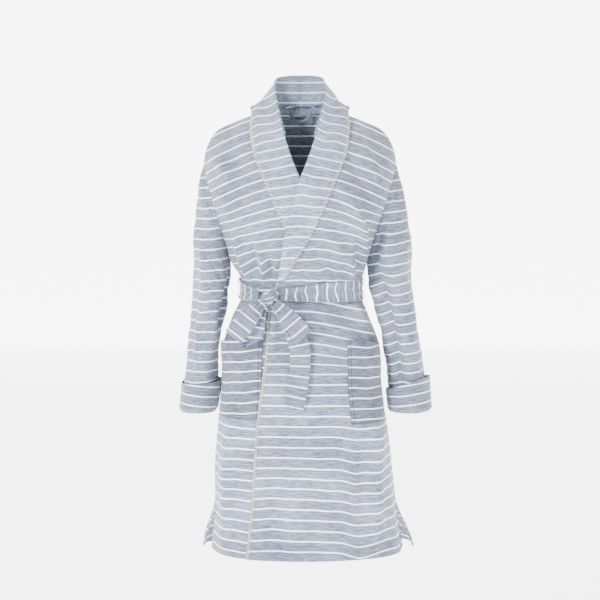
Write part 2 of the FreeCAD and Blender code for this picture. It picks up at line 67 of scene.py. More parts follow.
# Points of the wearer's right front and collar half; a depth of None lies on the front's cloth.
NECKLINE = [(45, -124, -385), (36, -134, -325), (22, -138, -255), (3, -135, -190), (-20, -118, -130),
            (-40, -84, -70), (-57, -38, -20), (-70, 14, 0)]
ROLL = [(53, None, -430), (42, None, -345), (26, None, -268), (6, None, -196), (-18, -128, -138),
        (-38, -94, -76), (-53, -52, -12), (-64, -6, 44), (-60, 34, 68), (-36, 62, 76), (0, 72, 78)]
EDGE = [(38, None, -431), (4, None, -372), (-42, None, -292), (-86, None, -192), (-114, None, -118),
        (-123, -60, -58), (-119, -8, -11), (-110, 44, -13), (-84, 88, -30), (-44, 110, -36), (0, 116, -38)]
STAND_FOOT = [(-38, -76, -72), (-55, -32, -18), (-67, 12, 3), (-56, 34, 2), (-33, 49, -1), (0, 59, -3)]
# Sleeve outline: height, middle across and in depth, half width, half depth.
SLEEVES = {1: [(-764, 277, 12, 50, 66), (-700, 270, 10, 48, 67), (-600, 257, 8, 46, 69),
               (-500, 238, 4, 49, 72), (-395, 226, 2, 52, 74)],
           -1: [(-764, 258, 12, 43, 66), (-700, 251, 10, 41, 67), (-600, 242, 8, 40, 69),
                (-500, 229, 4, 42, 72), (-395, 222, 2, 46, 74)]}
# Pockets: first and last angle round the body, foot and top height.
POCKET = {1: (31.0, 78.0, -783.0, -577.0), -1: (25.0, 74.0, -773.0, -572.0)}
KNOT = np.array([-75.0, -122.0, -474.0])
ARMHOLE_DEPTH = 58
SIDE_NAME = {1: "left", -1: "right"}


# ---------------------------------------------------------------- curves and surfaces
def smooth(t):
    t = np.clip(t, 0.0, 1.0)
    return t * t * (3 - 2 * t)


def through(points, t):
    """Points at shares t of a smooth curve through the given points."""
    pts = np.asarray(points, float)
    n = len(pts) - 1
    t = np.atleast_1d(np.asarray(t, float))
    i = np.minimum((t * n).astype(int), n - 1)
    f = (t * n - i)[:, None]
    a, b, c, d = pts[np.maximum(i - 1, 0)], pts[i], pts[i + 1], pts[np.minimum(i + 2, n)]
    return b + 0.5 * f * (c - a + f * (2 * a - 5 * b + 4 * c - d + f * (3 * (b - c) + d - a)))


def at_height(rows, z):
    """Values at heights z (any shape) on smooth curves through rows that start with their height."""
    rows = np.asarray(rows, float)
    z = np.clip(np.asarray(z, float), rows[0, 0], rows[-1, 0])
    last = len(rows) - 1
    i = np.clip(np.searchsorted(rows[:, 0], z, side="right") - 1, 0, last - 1)
    h, k = rows[i], rows[i + 1]
    b, q = rows[np.maximum(i - 1, 0)], rows[np.minimum(i + 2, last)]
    span = (k[..., 0] - h[..., 0])[..., None]
    f = ((z - h[..., 0]) / span[..., 0])[..., None]
    sa = (k - b)[..., 1:] / (k[..., 0] - b[..., 0])[..., None] * span
    sb = (q - h)[..., 1:] / (q[..., 0] - h[..., 0])[..., None] * span
    a, c = h[..., 1:], k[..., 1:]
    return a + f * sa + f * f * (3 * (c - a) - 2 * sa - sb) + f ** 3 * (2 * (a - c) + sa + sb)


def lap(z):
    """How far the left front stands off the right one."""
    return 6.5 + 6.5 * smooth((np.asarray(z) + 490) / 90)


def ring(deg, z, off=0.0, back=False):
    """Points round the body: 0 degrees is in front, 90 at the wearer's left side."""
    deg, z = np.broadcast_arrays(np.asarray(deg, float), np.asarray(z, float))
    s = at_height(STATIONS, z)
    width = np.where(deg < 0, s[..., 0], s[..., 1]) + off
    if back:
        width = width + np.where(deg < 0, *BACK_FLARE) * smooth((-985 - z) / 130)
    a = np.radians(deg)
    sx, cy = np.sin(a), np.cos(a)
    x = width * np.sign(sx) * np.abs(sx) ** (2 / ROUNDNESS)
    y = -(np.where(cy > 0, s[..., 2], s[..., 3]) + off) * np.sign(cy) * np.abs(cy) ** (2 / ROUNDNESS)
    return np.stack([x, y, z], -1)


def angle_at(x, z):
    """Angle round the body's front where it has that x."""
    s = at_height(STATIONS, z)
    half = np.where(np.asarray(x) > 0, s[..., 1], s[..., 0])
    return np.sign(x) * np.degrees(np.arcsin(np.minimum(1, (np.abs(x) / half) ** (ROUNDNESS / 2))))


def edge_x(side, z):
    """Where a front's free edge runs."""
    return -side * at_height(FRONT_EDGE, z)[..., 0]


def stand_off(side, deg, z):
    return lap(z) * smooth((90 - np.abs(deg)) / 55) if side > 0 else 0.0 * np.abs(deg)


def front_row(side, z, t):
    """Points of a front from its side seam, t = 0, to its free edge, t = 1."""
    z, t = np.broadcast_arrays(np.asarray(z, float), np.asarray(t, float))
    deg = side * 90.0 + (angle_at(edge_x(side, z), z) - side * 90.0) * t
    return ring(deg, z, stand_off(side, deg, z))


def armhole_ends(side):
    return ring(side * 90, UNDERARM_Z), np.array(SHOULDER[0], float) * [side, 1, 1]


def armhole(side, t, back=False):
    """Points up the front or back half of the armhole."""
    under, top = armhole_ends(side)
    t = np.atleast_1d(t)[:, None]
    p = under + (top - under) * t
    p[:, 1] = (1 if back else -1) * ARMHOLE_DEPTH * np.sin(np.pi * np.clip(t[:, 0], 0, 1)) ** 1.15
    return p


def armhole_normal(side):
    under, top = armhole_ends(side)
    n = np.array([top[2] - under[2], 0, under[0] - top[0]])
    n /= np.linalg.norm(n)
    return n * np.sign(n[0]) * side


def coons(bottom, top, left, right, s, t):
    """Grid of the patch between four edge point lists."""
    S, T = np.meshgrid(s, t)
    S, T = S[..., None], T[..., None]
    B, U, L, R = bottom[None], top[None], left[:, None], right[:, None]
    corners = (bottom[0] * (1 - S) + bottom[-1] * S) * (1 - T) + (top[0] * (1 - S) + top[-1] * S) * T
    return B * (1 - T) + U * T + L * (1 - S) + R * S - corners


def resample(grid, rows, cols):
    """A grid drawn finer along both ways by smooth curves through its points."""
    g = through(grid.reshape(len(grid), -1), np.linspace(0, 1, rows)).reshape(rows, grid.shape[1], -1)
    g = g.transpose(1, 0, 2)
    g = through(g.reshape(len(g), -1), np.linspace(0, 1, cols)).reshape(cols, rows, -1)
    return g.transpose(1, 0, 2)


def normals(P, closed=False):
    """Unit normals of a grid; a closed one runs round along its columns."""
    du = np.gradient(P, axis=0)
    dv = (np.roll(P, -1, 1) - np.roll(P, 1, 1)) if closed else np.gradient(P, axis=1)
    n = np.cross(du, dv)
    return n / np.maximum(np.linalg.norm(n, axis=-1, keepdims=True), 1e-9)


def normals_towards(P, towards, part=slice(None), closed=False):
    """Normals turned so that over part of the grid they point along towards."""
    N = normals(P, closed)
    return N * np.sign((N[part] * towards).sum(-1).mean())


def waves(x, z, scale_x, scale_z, seed, count=24):
    """Smooth random waves of unit height."""
    rng = np.random.default_rng(seed)
    out = 0.0
    for _ in range(count):
        a = rng.uniform(0, 2 * np.pi)
        f = rng.uniform(0.5, 1.5)
        phase = rng.uniform(0, 6.28)
        out = out + np.sin(f * (x * np.cos(a) / scale_x + z * np.sin(a) / scale_z) * 2 * np.pi + phase)
    return out / math.sqrt(count) * 0.8


def crease(x, z, path, height, width):
    """A soft ridge along a path of (x, z); it fades at both ends."""
    fine = through(path, np.linspace(0, 1, 24))
    best = np.full(np.shape(x), 1e9)
    where = np.zeros(np.shape(x))
    for k, (px, pz) in enumerate(fine):
        d = (x - px) ** 2 + (z - pz) ** 2
        where = np.where(d < best, k / 23, where)
        best = np.minimum(best, d)
    seg = np.linalg.norm(fine[1] - fine[0])
    d2 = np.maximum(best - (seg / 2) ** 2, 0)
    return height * np.exp(-d2 / width ** 2) * np.sin(np.pi * np.clip(where * 0.94 + 0.03, 0, 1)) ** 0.7


# Soft ridges and valleys in the fronts: path as (x, z), height, width.
FRONT_FOLDS = [
    ([(-196, -215), (-168, -275), (-150, -345)], 5, 14), ([(-178, -250), (-152, -320), (-137, -385)], -4, 12),
    ([(-158, -330), (-140, -385), (-128, -428)], 5, 9), ([(-120, -330), (-112, -390), (-106, -428)], -4, 9),
    ([(-96, -360), (-90, -400), (-88, -430)], 4, 7), ([(-74, -380), (-70, -405), (-70, -430)], -3.5, 6),
    ([(-205, -130), (-185, -165), (-176, -215)], 4, 15), ([(-172, -120), (-150, -160), (-152, -230)], -3, 16),
    ([(150, -95), (172, -140), (196, -190)], 5, 13), ([(118, -120), (146, -175), (176, -240)], -4, 14),
    ([(98, -190), (128, -250), (156, -330)], 4, 15), ([(128, -240), (150, -300), (158, -370)], 5, 9),
    ([(60, -300), (92, -350), (128, -400)], 3.5, 16), ([(30, -350), (60, -395), (100, -428)], -3, 12),
    ([(140, -330), (146, -385), (146, -430)], -5, 8), ([(118, -365), (124, -400), (126, -430)], 4, 7),
    ([(-60, -490), (-64, -560), (-72, -640)], 3, 10), ([(120, -485), (150, -520), (176, -580)], 4, 10),
    ([(70, -486), (118, -520), (150, -570)], -3, 12), ([(20, -486), (60, -520), (96, -560)], 3, 12),
    ([(-120, -488), (-140, -520), (-156, -560)], 4, 8), ([(-20, -486), (0, -530), (12, -590)], -2.5, 12),
    ([(196, -790), (186, -900), (190, -1080)], 7, 17), ([(150, -800), (160, -930), (150, -1100)], -5, 24),
    ([(-176, -790), (-182, -900), (-190, -1090)], 5, 18), ([(40, -830), (70, -960), (60, -1110)], 3.5, 34),
    ([(-60, -900), (-70, -1000), (-60, -1112)], -3, 30),
]


def body_fold(deg, x, z, back):
    """How far folds lift the body's cloth at an angle and height, the same for both fronts."""
    near = np.exp(-np.abs(z - WAIST_Z) / 60) * (0.25 + 0.75 * smooth((np.abs(z - WAIST_Z) - 18) / 26))
    gathers = waves(deg, z, 9.0, 260, 3) * near * 4.2
    down = smooth((-560 - z) / 520)
    sides = smooth((np.abs(deg) - 40) / 40)
    flutes = np.sin(np.radians(deg) * 7 + 0.8) * 7.5 * down * np.where(np.abs(deg) > 90, 1.0, 0.55 * sides)
    soft = waves(x, z, 150, 210, 5) * 1.8 + waves(x, z, 45, 60, 8) * 0.5
    d = gathers + flutes + soft
    d = d * (1 - 0.75 * smooth((z + 60) / 60))
    if not back:
        for path, height, width in FRONT_FOLDS:
            d = d + crease(x, z, path, height * 2.6, width)
    else:
        for k in range(-3, 4):
            d = d + crease(x, z, [(k * 34 + 6, -425), (k * 44, -380), (k * 50, -300)], 3.5, 10)
            d = d + crease(x, z, [(k * 36, -490), (k * 48 + 8, -560), (k * 60, -660)], 3.5, 11)
        d = d + crease(x, z, [(-190, -170), (-130, -240), (-120, -330)], 5, 20)
        d = d + crease(x, z, [(190, -170), (130, -240), (120, -330)], 5, 20)
    return d


def stripe_height(x, z, side):
    """Height in the cloth: stripes arch over the chest and sag between the skirt's folds."""
    arch = np.interp(z, [-440, -350, -250, -150, -60, 0, 90], [6, 30, 52, 52, 44, 34, 36])
    out = z + arch * (np.maximum(0, np.abs(x) - 50) / 150) ** 1.4
    if side > 0:
        hip = smooth((z + 660) / 60) * smooth((-470 - z) / 20)
        out = out + 30 * hip * (np.maximum(0, x - 20) / 160) ** 1.3
        out = out + 17 * np.exp(-((x - 150) / 40) ** 2) * smooth((-700 - z) / 220)
    if side < 0:
        out = out + 0.08 * (x + 210) * smooth((-560 - z) / 80)
    return out


class Cloth:
    """A surface as a grid of points with outward normals and cloth coordinates, all in mm."""

    def __init__(self, P, U, V, closed=False, outward=1):
        self.P, self.U, self.V, self.closed = P, U, V, closed
        self.N = normals(P, closed) * outward

    def at(self, r, c, off=0.0):
        """Points, U and V at row and column shares from 0 to 1, off mm outside."""
        R, C = self.P.shape[:2]
        r, c = np.broadcast_arrays(np.asarray(r, float), np.asarray(c, float))
        rr = np.clip(r, 0, 1) * (R - 1)
        cc = (c % 1.0) * C if self.closed else np.clip(c, 0, 1) * (C - 1)
        i, j = np.minimum(rr.astype(int), R - 2), cc.astype(int)
        if not self.closed:
            j = np.minimum(j, C - 2)
        fi, fj = (rr - i)[..., None], (cc - j)[..., None]
        j, j1 = j % C, (j + 1) % C

        def mix(A):
            return (A[i, j] * (1 - fi) * (1 - fj) + A[i + 1, j] * fi * (1 - fj) + A[i, j1] * (1 - fi) * fj
                    + A[i + 1, j1] * fi * fj)

        N = mix(self.N)
        N = N / np.maximum(np.linalg.norm(N, axis=-1, keepdims=True), 1e-9)
        P = mix(self.P) + N * np.asarray(off, float)[..., None]
        return P, mix(self.U[..., None])[..., 0], mix(self.V[..., None])[..., 0]


SKIRT = np.concatenate([np.linspace(HEM_Z, UNDERARM_Z - 18, 40), [UNDERARM_Z - 8, UNDERARM_Z]])
CHEST = np.array([0.03, 0.08, 0.15, 0.22, 0.3, 0.38, 0.46, 0.54, 0.62, 0.7, 0.78, 0.85, 0.91, 0.96, 1])


def front_grid(side, cols=33):
    """A front without folds: rows up the skirt, then the chest between armhole and neckline."""
    t = np.linspace(0, 1, cols)
    lower = front_row(side, SKIRT[:, None], t[None])
    neck = through(NECKLINE, CHEST) * [-side, 1, 1]
    start = np.array(NECKLINE[0], float) * [-side, 1, 1]
    if side > 0:
        neck[:, 1] -= lap(UNDERARM_Z) * (1 - CHEST ** 3)
        start[1] -= lap(UNDERARM_Z)
    base = front_row(side, UNDERARM_Z, t)
    base = base + (start - base[-1]) * t[:, None]
    top = through(np.array(SHOULDER) * [side, 1, 1], t)
    rows = np.concatenate([[0], CHEST])
    neck, arm = np.vstack([start, neck]), armhole(side, rows)
    upper = coons(base, top, arm, neck, t, rows)[1:]
    return np.concatenate([lower, upper])


def back_grid(cols=33):
    halves = []
    for side in (1, -1):
        t = np.linspace(0, 1, cols)
        lower = ring(side * (90 + 90 * t[None]), SKIRT[:, None], 0.0, True)
        cut = 0.75  # share of the top that is shoulder seam; the rest is neckline
        top = np.array([through(np.array(SHOULDER) * [side, 1, 1], u / cut)[0] if u < cut else
                        through(np.array(NECK_BACK) * [side, 1, 1], (u - cut) / (1 - cut))[0] for u in t])
        rows = np.concatenate([[0], CHEST])
        mid, arm = through(BACK_MIDLINE, rows), armhole(side, rows, True)
        upper = coons(ring(side * (90 + 90 * t), UNDERARM_Z), top, arm, mid, t, rows)[1:]
        halves.append(np.concatenate([lower, upper]))
    return np.concatenate([halves[0], halves[1][:, -2::-1]], axis=1)


def across(P):
    """Distance across each row, for the cloth's weft coordinate."""
    step = np.linalg.norm(np.diff(P, axis=1), axis=-1)
    return np.concatenate([np.zeros((len(P), 1)), np.cumsum(step, axis=1)], axis=1)


def body_cloth(side):
    """The front of one side, or the back for side 0, with its folds."""
    back = side == 0
    P = resample(back_grid() if back else front_grid(side), 330, 210 if back else 150)
    x, y, z = P[..., 0], P[..., 1], P[..., 2]
    deg = np.degrees(np.arctan2(x / 1.25, -y))
    outward = -1 if back else side
    from_seam = np.linspace(0, 1, P.shape[1])
    if back:
        from_seam = np.minimum(from_seam, from_seam[::-1])
    seam = smooth(from_seam[None] / 0.035)
    top = smooth((1 - np.linspace(0, 1, len(P)))[:, None] / 0.03)
    d = body_fold(deg, x, z, back) * (0.12 + 0.88 * seam) * top
    folded = P + normals(P) * outward * d[..., None]
    return Cloth(folded, across(P), stripe_height(x, z, side) + 0.32 * d, False, outward)


BODY = {s: body_cloth(s) for s in (1, -1, 0)}


def row_of(z):
    """Row share of a height below the underarm."""
    total = len(SKIRT) + len(CHEST) - 1
    return np.interp(z, SKIRT, np.arange(len(SKIRT)) / total)


def rows_between(low, high, count):
    """Row shares between two heights, and the heights that they are at."""
    rows = np.linspace(row_of(low), row_of(high), count)
    return rows, np.interp(rows, row_of(SKIRT), SKIRT)


def deg_col(side, deg, z):
    """Column share of a front at that angle and height, below the underarm."""
    return (deg - side * 90) / (angle_at(edge_x(side, z), z) - side * 90)


def col_from_edge(side, distance, z):
    """Column share of a front that far in from its free edge."""
    return deg_col(side, angle_at(edge_x(side, z) + side * distance, z), z)


# ---------------------------------------------------------------- meshes
def build(name, verts, faces, mat, uv=None, painted_light=None):
    """A mesh object from millimetres; the last argument is a shade for each point, painted light and shade
    kept as a colour attribute.
    """
    me = bpy.data.meshes.new(name)
    me.from_pydata((np.asarray(verts) * MM).tolist(), [], faces)
    me.update()
    me.shade_smooth()
    corners = np.zeros(len(me.loops), int)
    me.loops.foreach_get("vertex_index", corners)
    layer = me.uv_layers.new(name="cloth")
    if uv is not None:
        layer.data.foreach_set("uv", np.asarray(uv, float)[corners].ravel())
    shade = np.ones(len(me.vertices)) if painted_light is None else np.asarray(painted_light, float).ravel()
    # this colour attribute holds painted light and shade for each point
    colours = me.color_attributes.new("painted_light", "FLOAT_COLOR", "POINT")
    colours.data.foreach_set("color", np.stack([shade, shade, shade, np.ones_like(shade)], -1).ravel())
    me.materials.append(mat)
    ob = bpy.data.objects.new(name, me)
    bpy.context.collection.objects.link(ob)
    return ob


def face_outward(me):
    bm = bmesh.new()
    bm.from_mesh(me)
    bmesh.ops.recalc_face_normals(bm, faces=bm.faces)
    bm.to_mesh(me)
    bm.free()


def cloth_mesh(name, P, U, V, N, thick, mat, painted_light=None, closed=False):
    """A closed layer of cloth: P is its outer face, N points outward, U and V are cloth coordinates in mm."""
    n = P.shape[0] * P.shape[1]
    idx = np.arange(n).reshape(P.shape[:2])
    verts = np.concatenate([P.reshape(-1, 3), (P - N * thick).reshape(-1, 3)])
    right = np.roll(idx, -1, 1) if closed else idx[:, 1:]
    left = idx if closed else idx[:, :-1]
    quads = np.stack([left[:-1], right[:-1], right[1:], left[1:]], -1).reshape(-1, 4)
    # the outer face's winding follows its normal
    middle = quads[len(quads) // 2]
    p = verts[middle]
    if np.dot(np.cross(p[1] - p[0], p[2] - p[1]), N.reshape(-1, 3)[middle[0]]) < 0:
        quads = quads[:, ::-1]
    faces = quads.tolist() + (quads[:, ::-1] + n).tolist()
    if closed:
        rims = [idx[0], idx[-1]]
    else:
        rims = [np.concatenate([idx[0], idx[1:, -1], idx[-1, -2::-1], idx[-2:0:-1, 0]])]
    for rim in rims:
        ahead = np.roll(rim, -1)
        faces += np.stack([rim, ahead, ahead + n, rim + n], -1).tolist()
    shade = np.ones(n) if painted_light is None else painted_light.ravel()
    uv = np.stack(np.broadcast_arrays(U, V), -1).reshape(-1, 2) * MM
    # the inner face gets nine tenths of the outer face's shade: painted shade inside the cloth
    ob = build(name, verts, faces, mat, np.concatenate([uv, uv]), np.concatenate([shade, shade * 0.9]))
    face_outward(ob.data)
    return ob


def full(name, cloth, mat, painted_light=None, thick=CLOTH):
    return cloth_mesh(name, cloth.P, cloth.U, cloth.V, cloth.N, thick, mat, painted_light, cloth.closed)


def strip_mesh(name, cloth, rows, cols, mat):
    """A layer just inside a cloth, over grids of row and column shares."""
    P, U, V = cloth.at(rows, cols, -CLOTH - UNDER)
    outward = cloth.at(rows, cols, 1.0)[0] - cloth.at(rows, cols, 0.0)[0]
    return cloth_mesh(name, P, U, V, normals_towards(P, outward), CLOTH * 0.8, mat)


def thread(paths, radius, sides=5):
    """Vertices and faces of round threads along point lists."""
    verts, faces = [], []
    angles = np.linspace(0, 2 * np.pi, sides, endpoint=False)
    for path in paths:
        path = np.asarray(path, float)
        tan = np.gradient(path, axis=0)
        tan /= np.maximum(np.linalg.norm(tan, axis=1, keepdims=True), 1e-9)
        a = np.cross(tan, [0.3, 0.5, 0.81])
        a /= np.maximum(np.linalg.norm(a, axis=1, keepdims=True), 1e-9)
        b = np.cross(tan, a)
        first, last = len(verts), len(path) - 1
        taper = np.ones(len(path))
        taper[0] = taper[-1] = 0.55
        for p, u, w, share in zip(path, a, b, taper):
            verts += [p + radius * share * (np.cos(q) * u + np.sin(q) * w) for q in angles]
        for i in range(last):
            here, ahead = first + i * sides, first + (i + 1) * sides
            for s in range(sides):
                n = (s + 1) % sides
                faces.append([here + s, here + n, ahead + n, ahead + s])
        faces.append([first + s for s in range(sides)][::-1])
        faces.append([first + last * sides + s for s in range(sides)])
    return verts, faces


def threads(name, paths, radius, mat):
    return build(name, *thread(paths, radius), mat)


def run_along(points):
    """Distance along a line of points."""
    return np.concatenate([[0], np.cumsum(np.linalg.norm(np.diff(points, axis=0), axis=1))])


def stitches(name, points, outward, mat=None, length=2.6, gap=1.1, radius=0.32, lift=0.15):
    """A row of machine stitches along a line of points."""
    step, paths = run_along(points), []
    for s in np.arange(0, step[-1] - length, length + gap):
        u = s + np.linspace(0, length, 4)
        p = np.stack([np.interp(u, step, points[:, k]) for k in range(3)], -1)
        n = np.stack([np.interp(u, step, outward[:, k]) for k in range(3)], -1)
        paths.append(p + n * (lift + radius * np.array([-1.2, 0.25, 0.25, -1.2]))[:, None])
    return threads(name, paths, radius, mat or GREY)


def line_on(cloth, r, c):
    """Points on a cloth at row and column shares, and its normals there."""
    P = cloth.at(r, c)[0]
    return P, cloth.at(r, c, 1.0)[0] - P


# ---------------------------------------------------------------- what a piece rides on and stands for
def on_robe(ob):
    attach(ob, "robe")


def with_flap(ob):
    """Left front pieces have their placement baked into their mesh."""
    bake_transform(ob)


def between():
    """A hold that bakes a piece's placement into its mesh."""
    return lambda ob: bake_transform(ob)


def settle(ob, slot, *nodes, hold=on_robe):
    """Give a piece its body and the CAD nodes that it replaces; slot is not used."""
    hold(ob)
    if nodes:
        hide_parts(*nodes)
    return ob


# ---------------------------------------------------------------- materials
def feed(tree, socket, value):
    """Link an output to a socket, or set the socket's own value."""
    if isinstance(value, bpy.types.NodeSocket):
        tree.links.new(value, socket)
    else:
        socket.default_value = value


def maths(tree, operation, *values):
    n = tree.nodes.new("ShaderNodeMath")
    n.operation = operation
    for socket, value in zip(n.inputs, values):
        feed(tree, socket, value)
    return n.outputs[0]


def noise(tree, vector, scale, detail):
    n = tree.nodes.new("ShaderNodeTexNoise")
    n.inputs["Scale"].default_value = scale
    n.inputs["Detail"].default_value = detail
    tree.links.new(vector, n.inputs["Vector"])
    return n.outputs[0]


def mix_colour(tree, factor, a, b, how="MIX"):
    n = tree.nodes.new("ShaderNodeMix")
    n.data_type = "RGBA"
    n.blend_type = how
    for key, value in (("Factor", factor), ("A", a), ("B", b)):
        feed(tree, n.inputs[key], value)
    return n.outputs["Result"]


def ramp(tree, value, stops):
    """Colours by position, from the lowest to the highest."""
    n = tree.nodes.new("ShaderNodeValToRGB")
    steps = n.color_ramp.elements
    for step, (position, colour) in zip((steps[0], steps[1]), (stops[0], stops[-1])):
        step.position = position
        step.color = (*colour, 1)
    for position, colour in stops[1:-1]:
        steps.new(position).color = (*colour, 1)
    tree.links.new(value, n.inputs[0])
    return n.outputs[0]


def bump(tree, height, strength, distance):
    n = tree.nodes.new("ShaderNodeBump")
    n.inputs["Strength"].default_value = strength
    n.inputs["Distance"].default_value = distance
    tree.links.new(height, n.inputs["Height"])
    return n.outputs[0]


def principled(name, **values):
    """A material's tree and shader, with the shader's own sockets set by name."""
    mat = bpy.data.materials.new(name)
    mat.use_nodes = True
    shader = mat.node_tree.nodes["Principled BSDF"]
    for key, value in values.items():
        shader.inputs[key.replace("_", " ")].default_value = value
    return mat, mat.node_tree, shader


def stripes_over(t, colour, u, v, fine, phase):
    """White stripes across v with ragged edges."""
    ragged = t.nodes.new("ShaderNodeTexNoise")
    ragged.noise_dimensions = "1D"
    ragged.inputs["Scale"].default_value = 260.0
    t.links.new(u, ragged.inputs["W"])
    shift = maths(t, "MULTIPLY", maths(t, "SUBTRACT", ragged.outputs[0], 0.5), 0.0007)
    cell = maths(t, "DIVIDE", maths(t, "ADD", v, shift), PITCH * MM)
    cell = maths(t, "FRACT", maths(t, "ADD", cell, 10.0 + phase))
    band = t.nodes.new("ShaderNodeMapRange")
    band.interpolation_type = "SMOOTHSTEP"
    band.inputs["From Min"].default_value = 0.078
    band.inputs["From Max"].default_value = 0.052
    t.links.new(maths(t, "ABSOLUTE", maths(t, "SUBTRACT", cell, 0.5)), band.inputs["Value"])
    cover = maths(t, "ADD", 0.72, maths(t, "MULTIPLY", fine, 0.4))
    return mix_colour(t, maths(t, "MULTIPLY", band.outputs[0], cover), colour, (0.95, 0.95, 0.94, 1))


def knit(name, tone=1.0, stripes=True, phase=0.0):
    """Heathered knit; phase shifts its stripes by that share of their repeat."""
    mat, t, shader = principled(name, Roughness=0.88, Sheen_Weight=0.25, Sheen_Roughness=0.5,
                                Specular_IOR_Level=0.2)
    uv = t.nodes.new("ShaderNodeUVMap")
    uv.uv_map = "cloth"
    split = t.nodes.new("ShaderNodeSeparateXYZ")
    t.links.new(uv.outputs[0], split.inputs[0])
    u, v = split.outputs[0], split.outputs[1]

    def streaks(along_u, along_v, detail):
        at = t.nodes.new("ShaderNodeCombineXYZ")
        t.links.new(maths(t, "MULTIPLY", u, along_u), at.inputs[0])
        t.links.new(maths(t, "MULTIPLY", v, along_v), at.inputs[1])
        return noise(t, at.outputs[0], 1.0, detail)

    # slubs and streaks run along the rows
    slub, fine = streaks(120.0, 1500.0, 4.0), streaks(700.0, 900.0, 2.0)
    streak, broad = streaks(38.0, 330.0, 3.0), noise(t, uv.outputs[0], 9.0, 3.0)
    heather = maths(t, "ADD", maths(t, "MULTIPLY", slub, 0.34), maths(t, "MULTIPLY", fine, 0.14))
    heather = maths(t, "ADD", heather, maths(t, "MULTIPLY", streak, 0.36))
    heather = maths(t, "ADD", heather, maths(t, "MULTIPLY", broad, 0.16))
    colour = ramp(t, heather, [(place, tuple(part * tone for part in blue)) for place, blue in HEATHER])
    if stripes:
        colour = stripes_over(t, colour, u, v, fine, phase)
    # the point colour attribute is painted light and shade, multiplied into the knit's colour
    shade = t.nodes.new("ShaderNodeVertexColor")
    shade.layer_name = "painted_light"
    t.links.new(mix_colour(t, 1.0, colour, shade.outputs[0], "MULTIPLY"), shader.inputs["Base Color"])
    # loops of the knit: wales across u, courses across v
    wale = maths(t, "SINE", maths(t, "MULTIPLY", u, 2 * math.pi / 0.0011))
    course = maths(t, "SINE", maths(t, "MULTIPLY", v, 2 * math.pi / 0.0009))
    loops = maths(t, "ADD", maths(t, "MULTIPLY", wale, 0.5), maths(t, "MULTIPLY", course, 0.35))
    loops = maths(t, "ADD", loops, maths(t, "MULTIPLY", slub, 2.2))
    t.links.new(bump(t, loops, 0.35, 0.0003), shader.inputs["Normal"])
    return mat


def thread_material(name, dark, light):
    mat, t, shader = principled(name, Roughness=0.75, Sheen_Weight=0.2)
    place = t.nodes.new("ShaderNodeTexCoord").outputs["Object"]
    colour = ramp(t, noise(t, place, 220.0, 2.0), [(0.4, dark), (0.6, light)])
    t.links.new(colour, shader.inputs["Base Color"])
    twist = t.nodes.new("ShaderNodeTexWave")
    twist.inputs["Scale"].default_value = 900.0
    twist.bands_direction = "DIAGONAL"
    t.links.new(place, twist.inputs["Vector"])
    t.links.new(bump(t, twist.outputs[0], 0.4, 0.0002), shader.inputs["Normal"])
    return mat


HEATHER = [(0.40, (0.045, 0.063, 0.108)), (0.51, (0.135, 0.165, 0.235)), (0.61, (0.29, 0.325, 0.405))]
BODY_KNIT = knit("striped_knit", phase=0.45)
# inner_knit's lower tone is painted shade: the same knit, darker where facings and hems double the cloth and
# stop the backlight
INNER_KNIT = knit("inner_knit", tone=0.93, phase=0.45)
SLEEVE_KNIT = knit("sleeve_knit", phase=0.1)
CUFF_KNIT = knit("cuff_knit", tone=0.96, phase=0.3)
COLLAR_KNIT = knit("collar_knit", tone=1.4, phase=0.2)
# pocket_knit's low tone is painted shade: the same knit, darker where the pocket doubles the cloth and stops
# the backlight
POCKET_KNIT = knit("pocket_knit", tone=0.72, phase=0.62)
SASH_KNIT = knit("sash_knit", tone=0.97, phase=0.5)
TAPE_KNIT = knit("tape_knit", tone=0.9, stripes=False)
TAN = thread_material("tan_thread", (0.15, 0.125, 0.10), (0.30, 0.26, 0.21))
WHITE = thread_material("white_thread", (0.62, 0.61, 0.58), (0.80, 0.79, 0.76))
GREY = thread_material("tonal_thread", (0.09, 0.11, 0.15), (0.17, 0.20, 0.26))
OVERCAST = (("tan", TAN, 0.0), ("white", WHITE, 0.5))  # name, thread, shift by a share of the stitch

# ---------------------------------------------------------------- body panels, facings and hems
HEM_LINES = (10, 18, 27)  # heights of the fine stitch rows in the hem
EDGE_TOP = -436  # where the collar takes over the fronts' overcast edge


def painted_backlight(cloth, side):
    """Painted light on the cloth: painted backlight makes it paler towards the foot but nearly plain over the
    hem, and painted shade makes it darker over the facing, where two plies stop the light.
    """
    x, z = cloth.P[..., 0], cloth.P[..., 2]
    shade = 1.0 + 0.22 * smooth((-620 - z) / 120)
    shade = np.where(z < HEM_Z + HEM_DEPTH, 1.04, shade)
    if side:
        # painted shade over the facing, where the second ply stops the backlight
        over_facing = (np.abs(x - edge_x(side, z)) < FACING) & (z < -470)
        shade = np.where(over_facing, shade * 0.94, shade)
    return shade


def edge_overcast(cloth, rows, shift):
    """Slanting stitches over a front's edge, one for each row."""
    step = rows[1] - rows[0]
    turn = np.linspace(0, 1, 7)
    marks = [0, 0.35, 0.5, 0.65, 1]
    inset = np.interp(turn, marks, [0.02, 0.0, -0.002, 0.0, 0.018])
    high = np.interp(turn, marks, [0.5, 0.5, -0.5, -1.5, -1.5])
    paths = []
    for row in rows[:-1] + shift * step:
        on_edge, out = line_on(cloth, row + (turn - 0.5) * step * 0.6, 1 - np.clip(inset, 0, 1))
        past = cloth.at(row, 1.0)[0] - cloth.at(row, 0.97)[0]
        past /= np.linalg.norm(past)
        paths.append(on_edge + out * high[:, None] + np.maximum(0, -inset)[:, None] * 200 * past)
    return paths


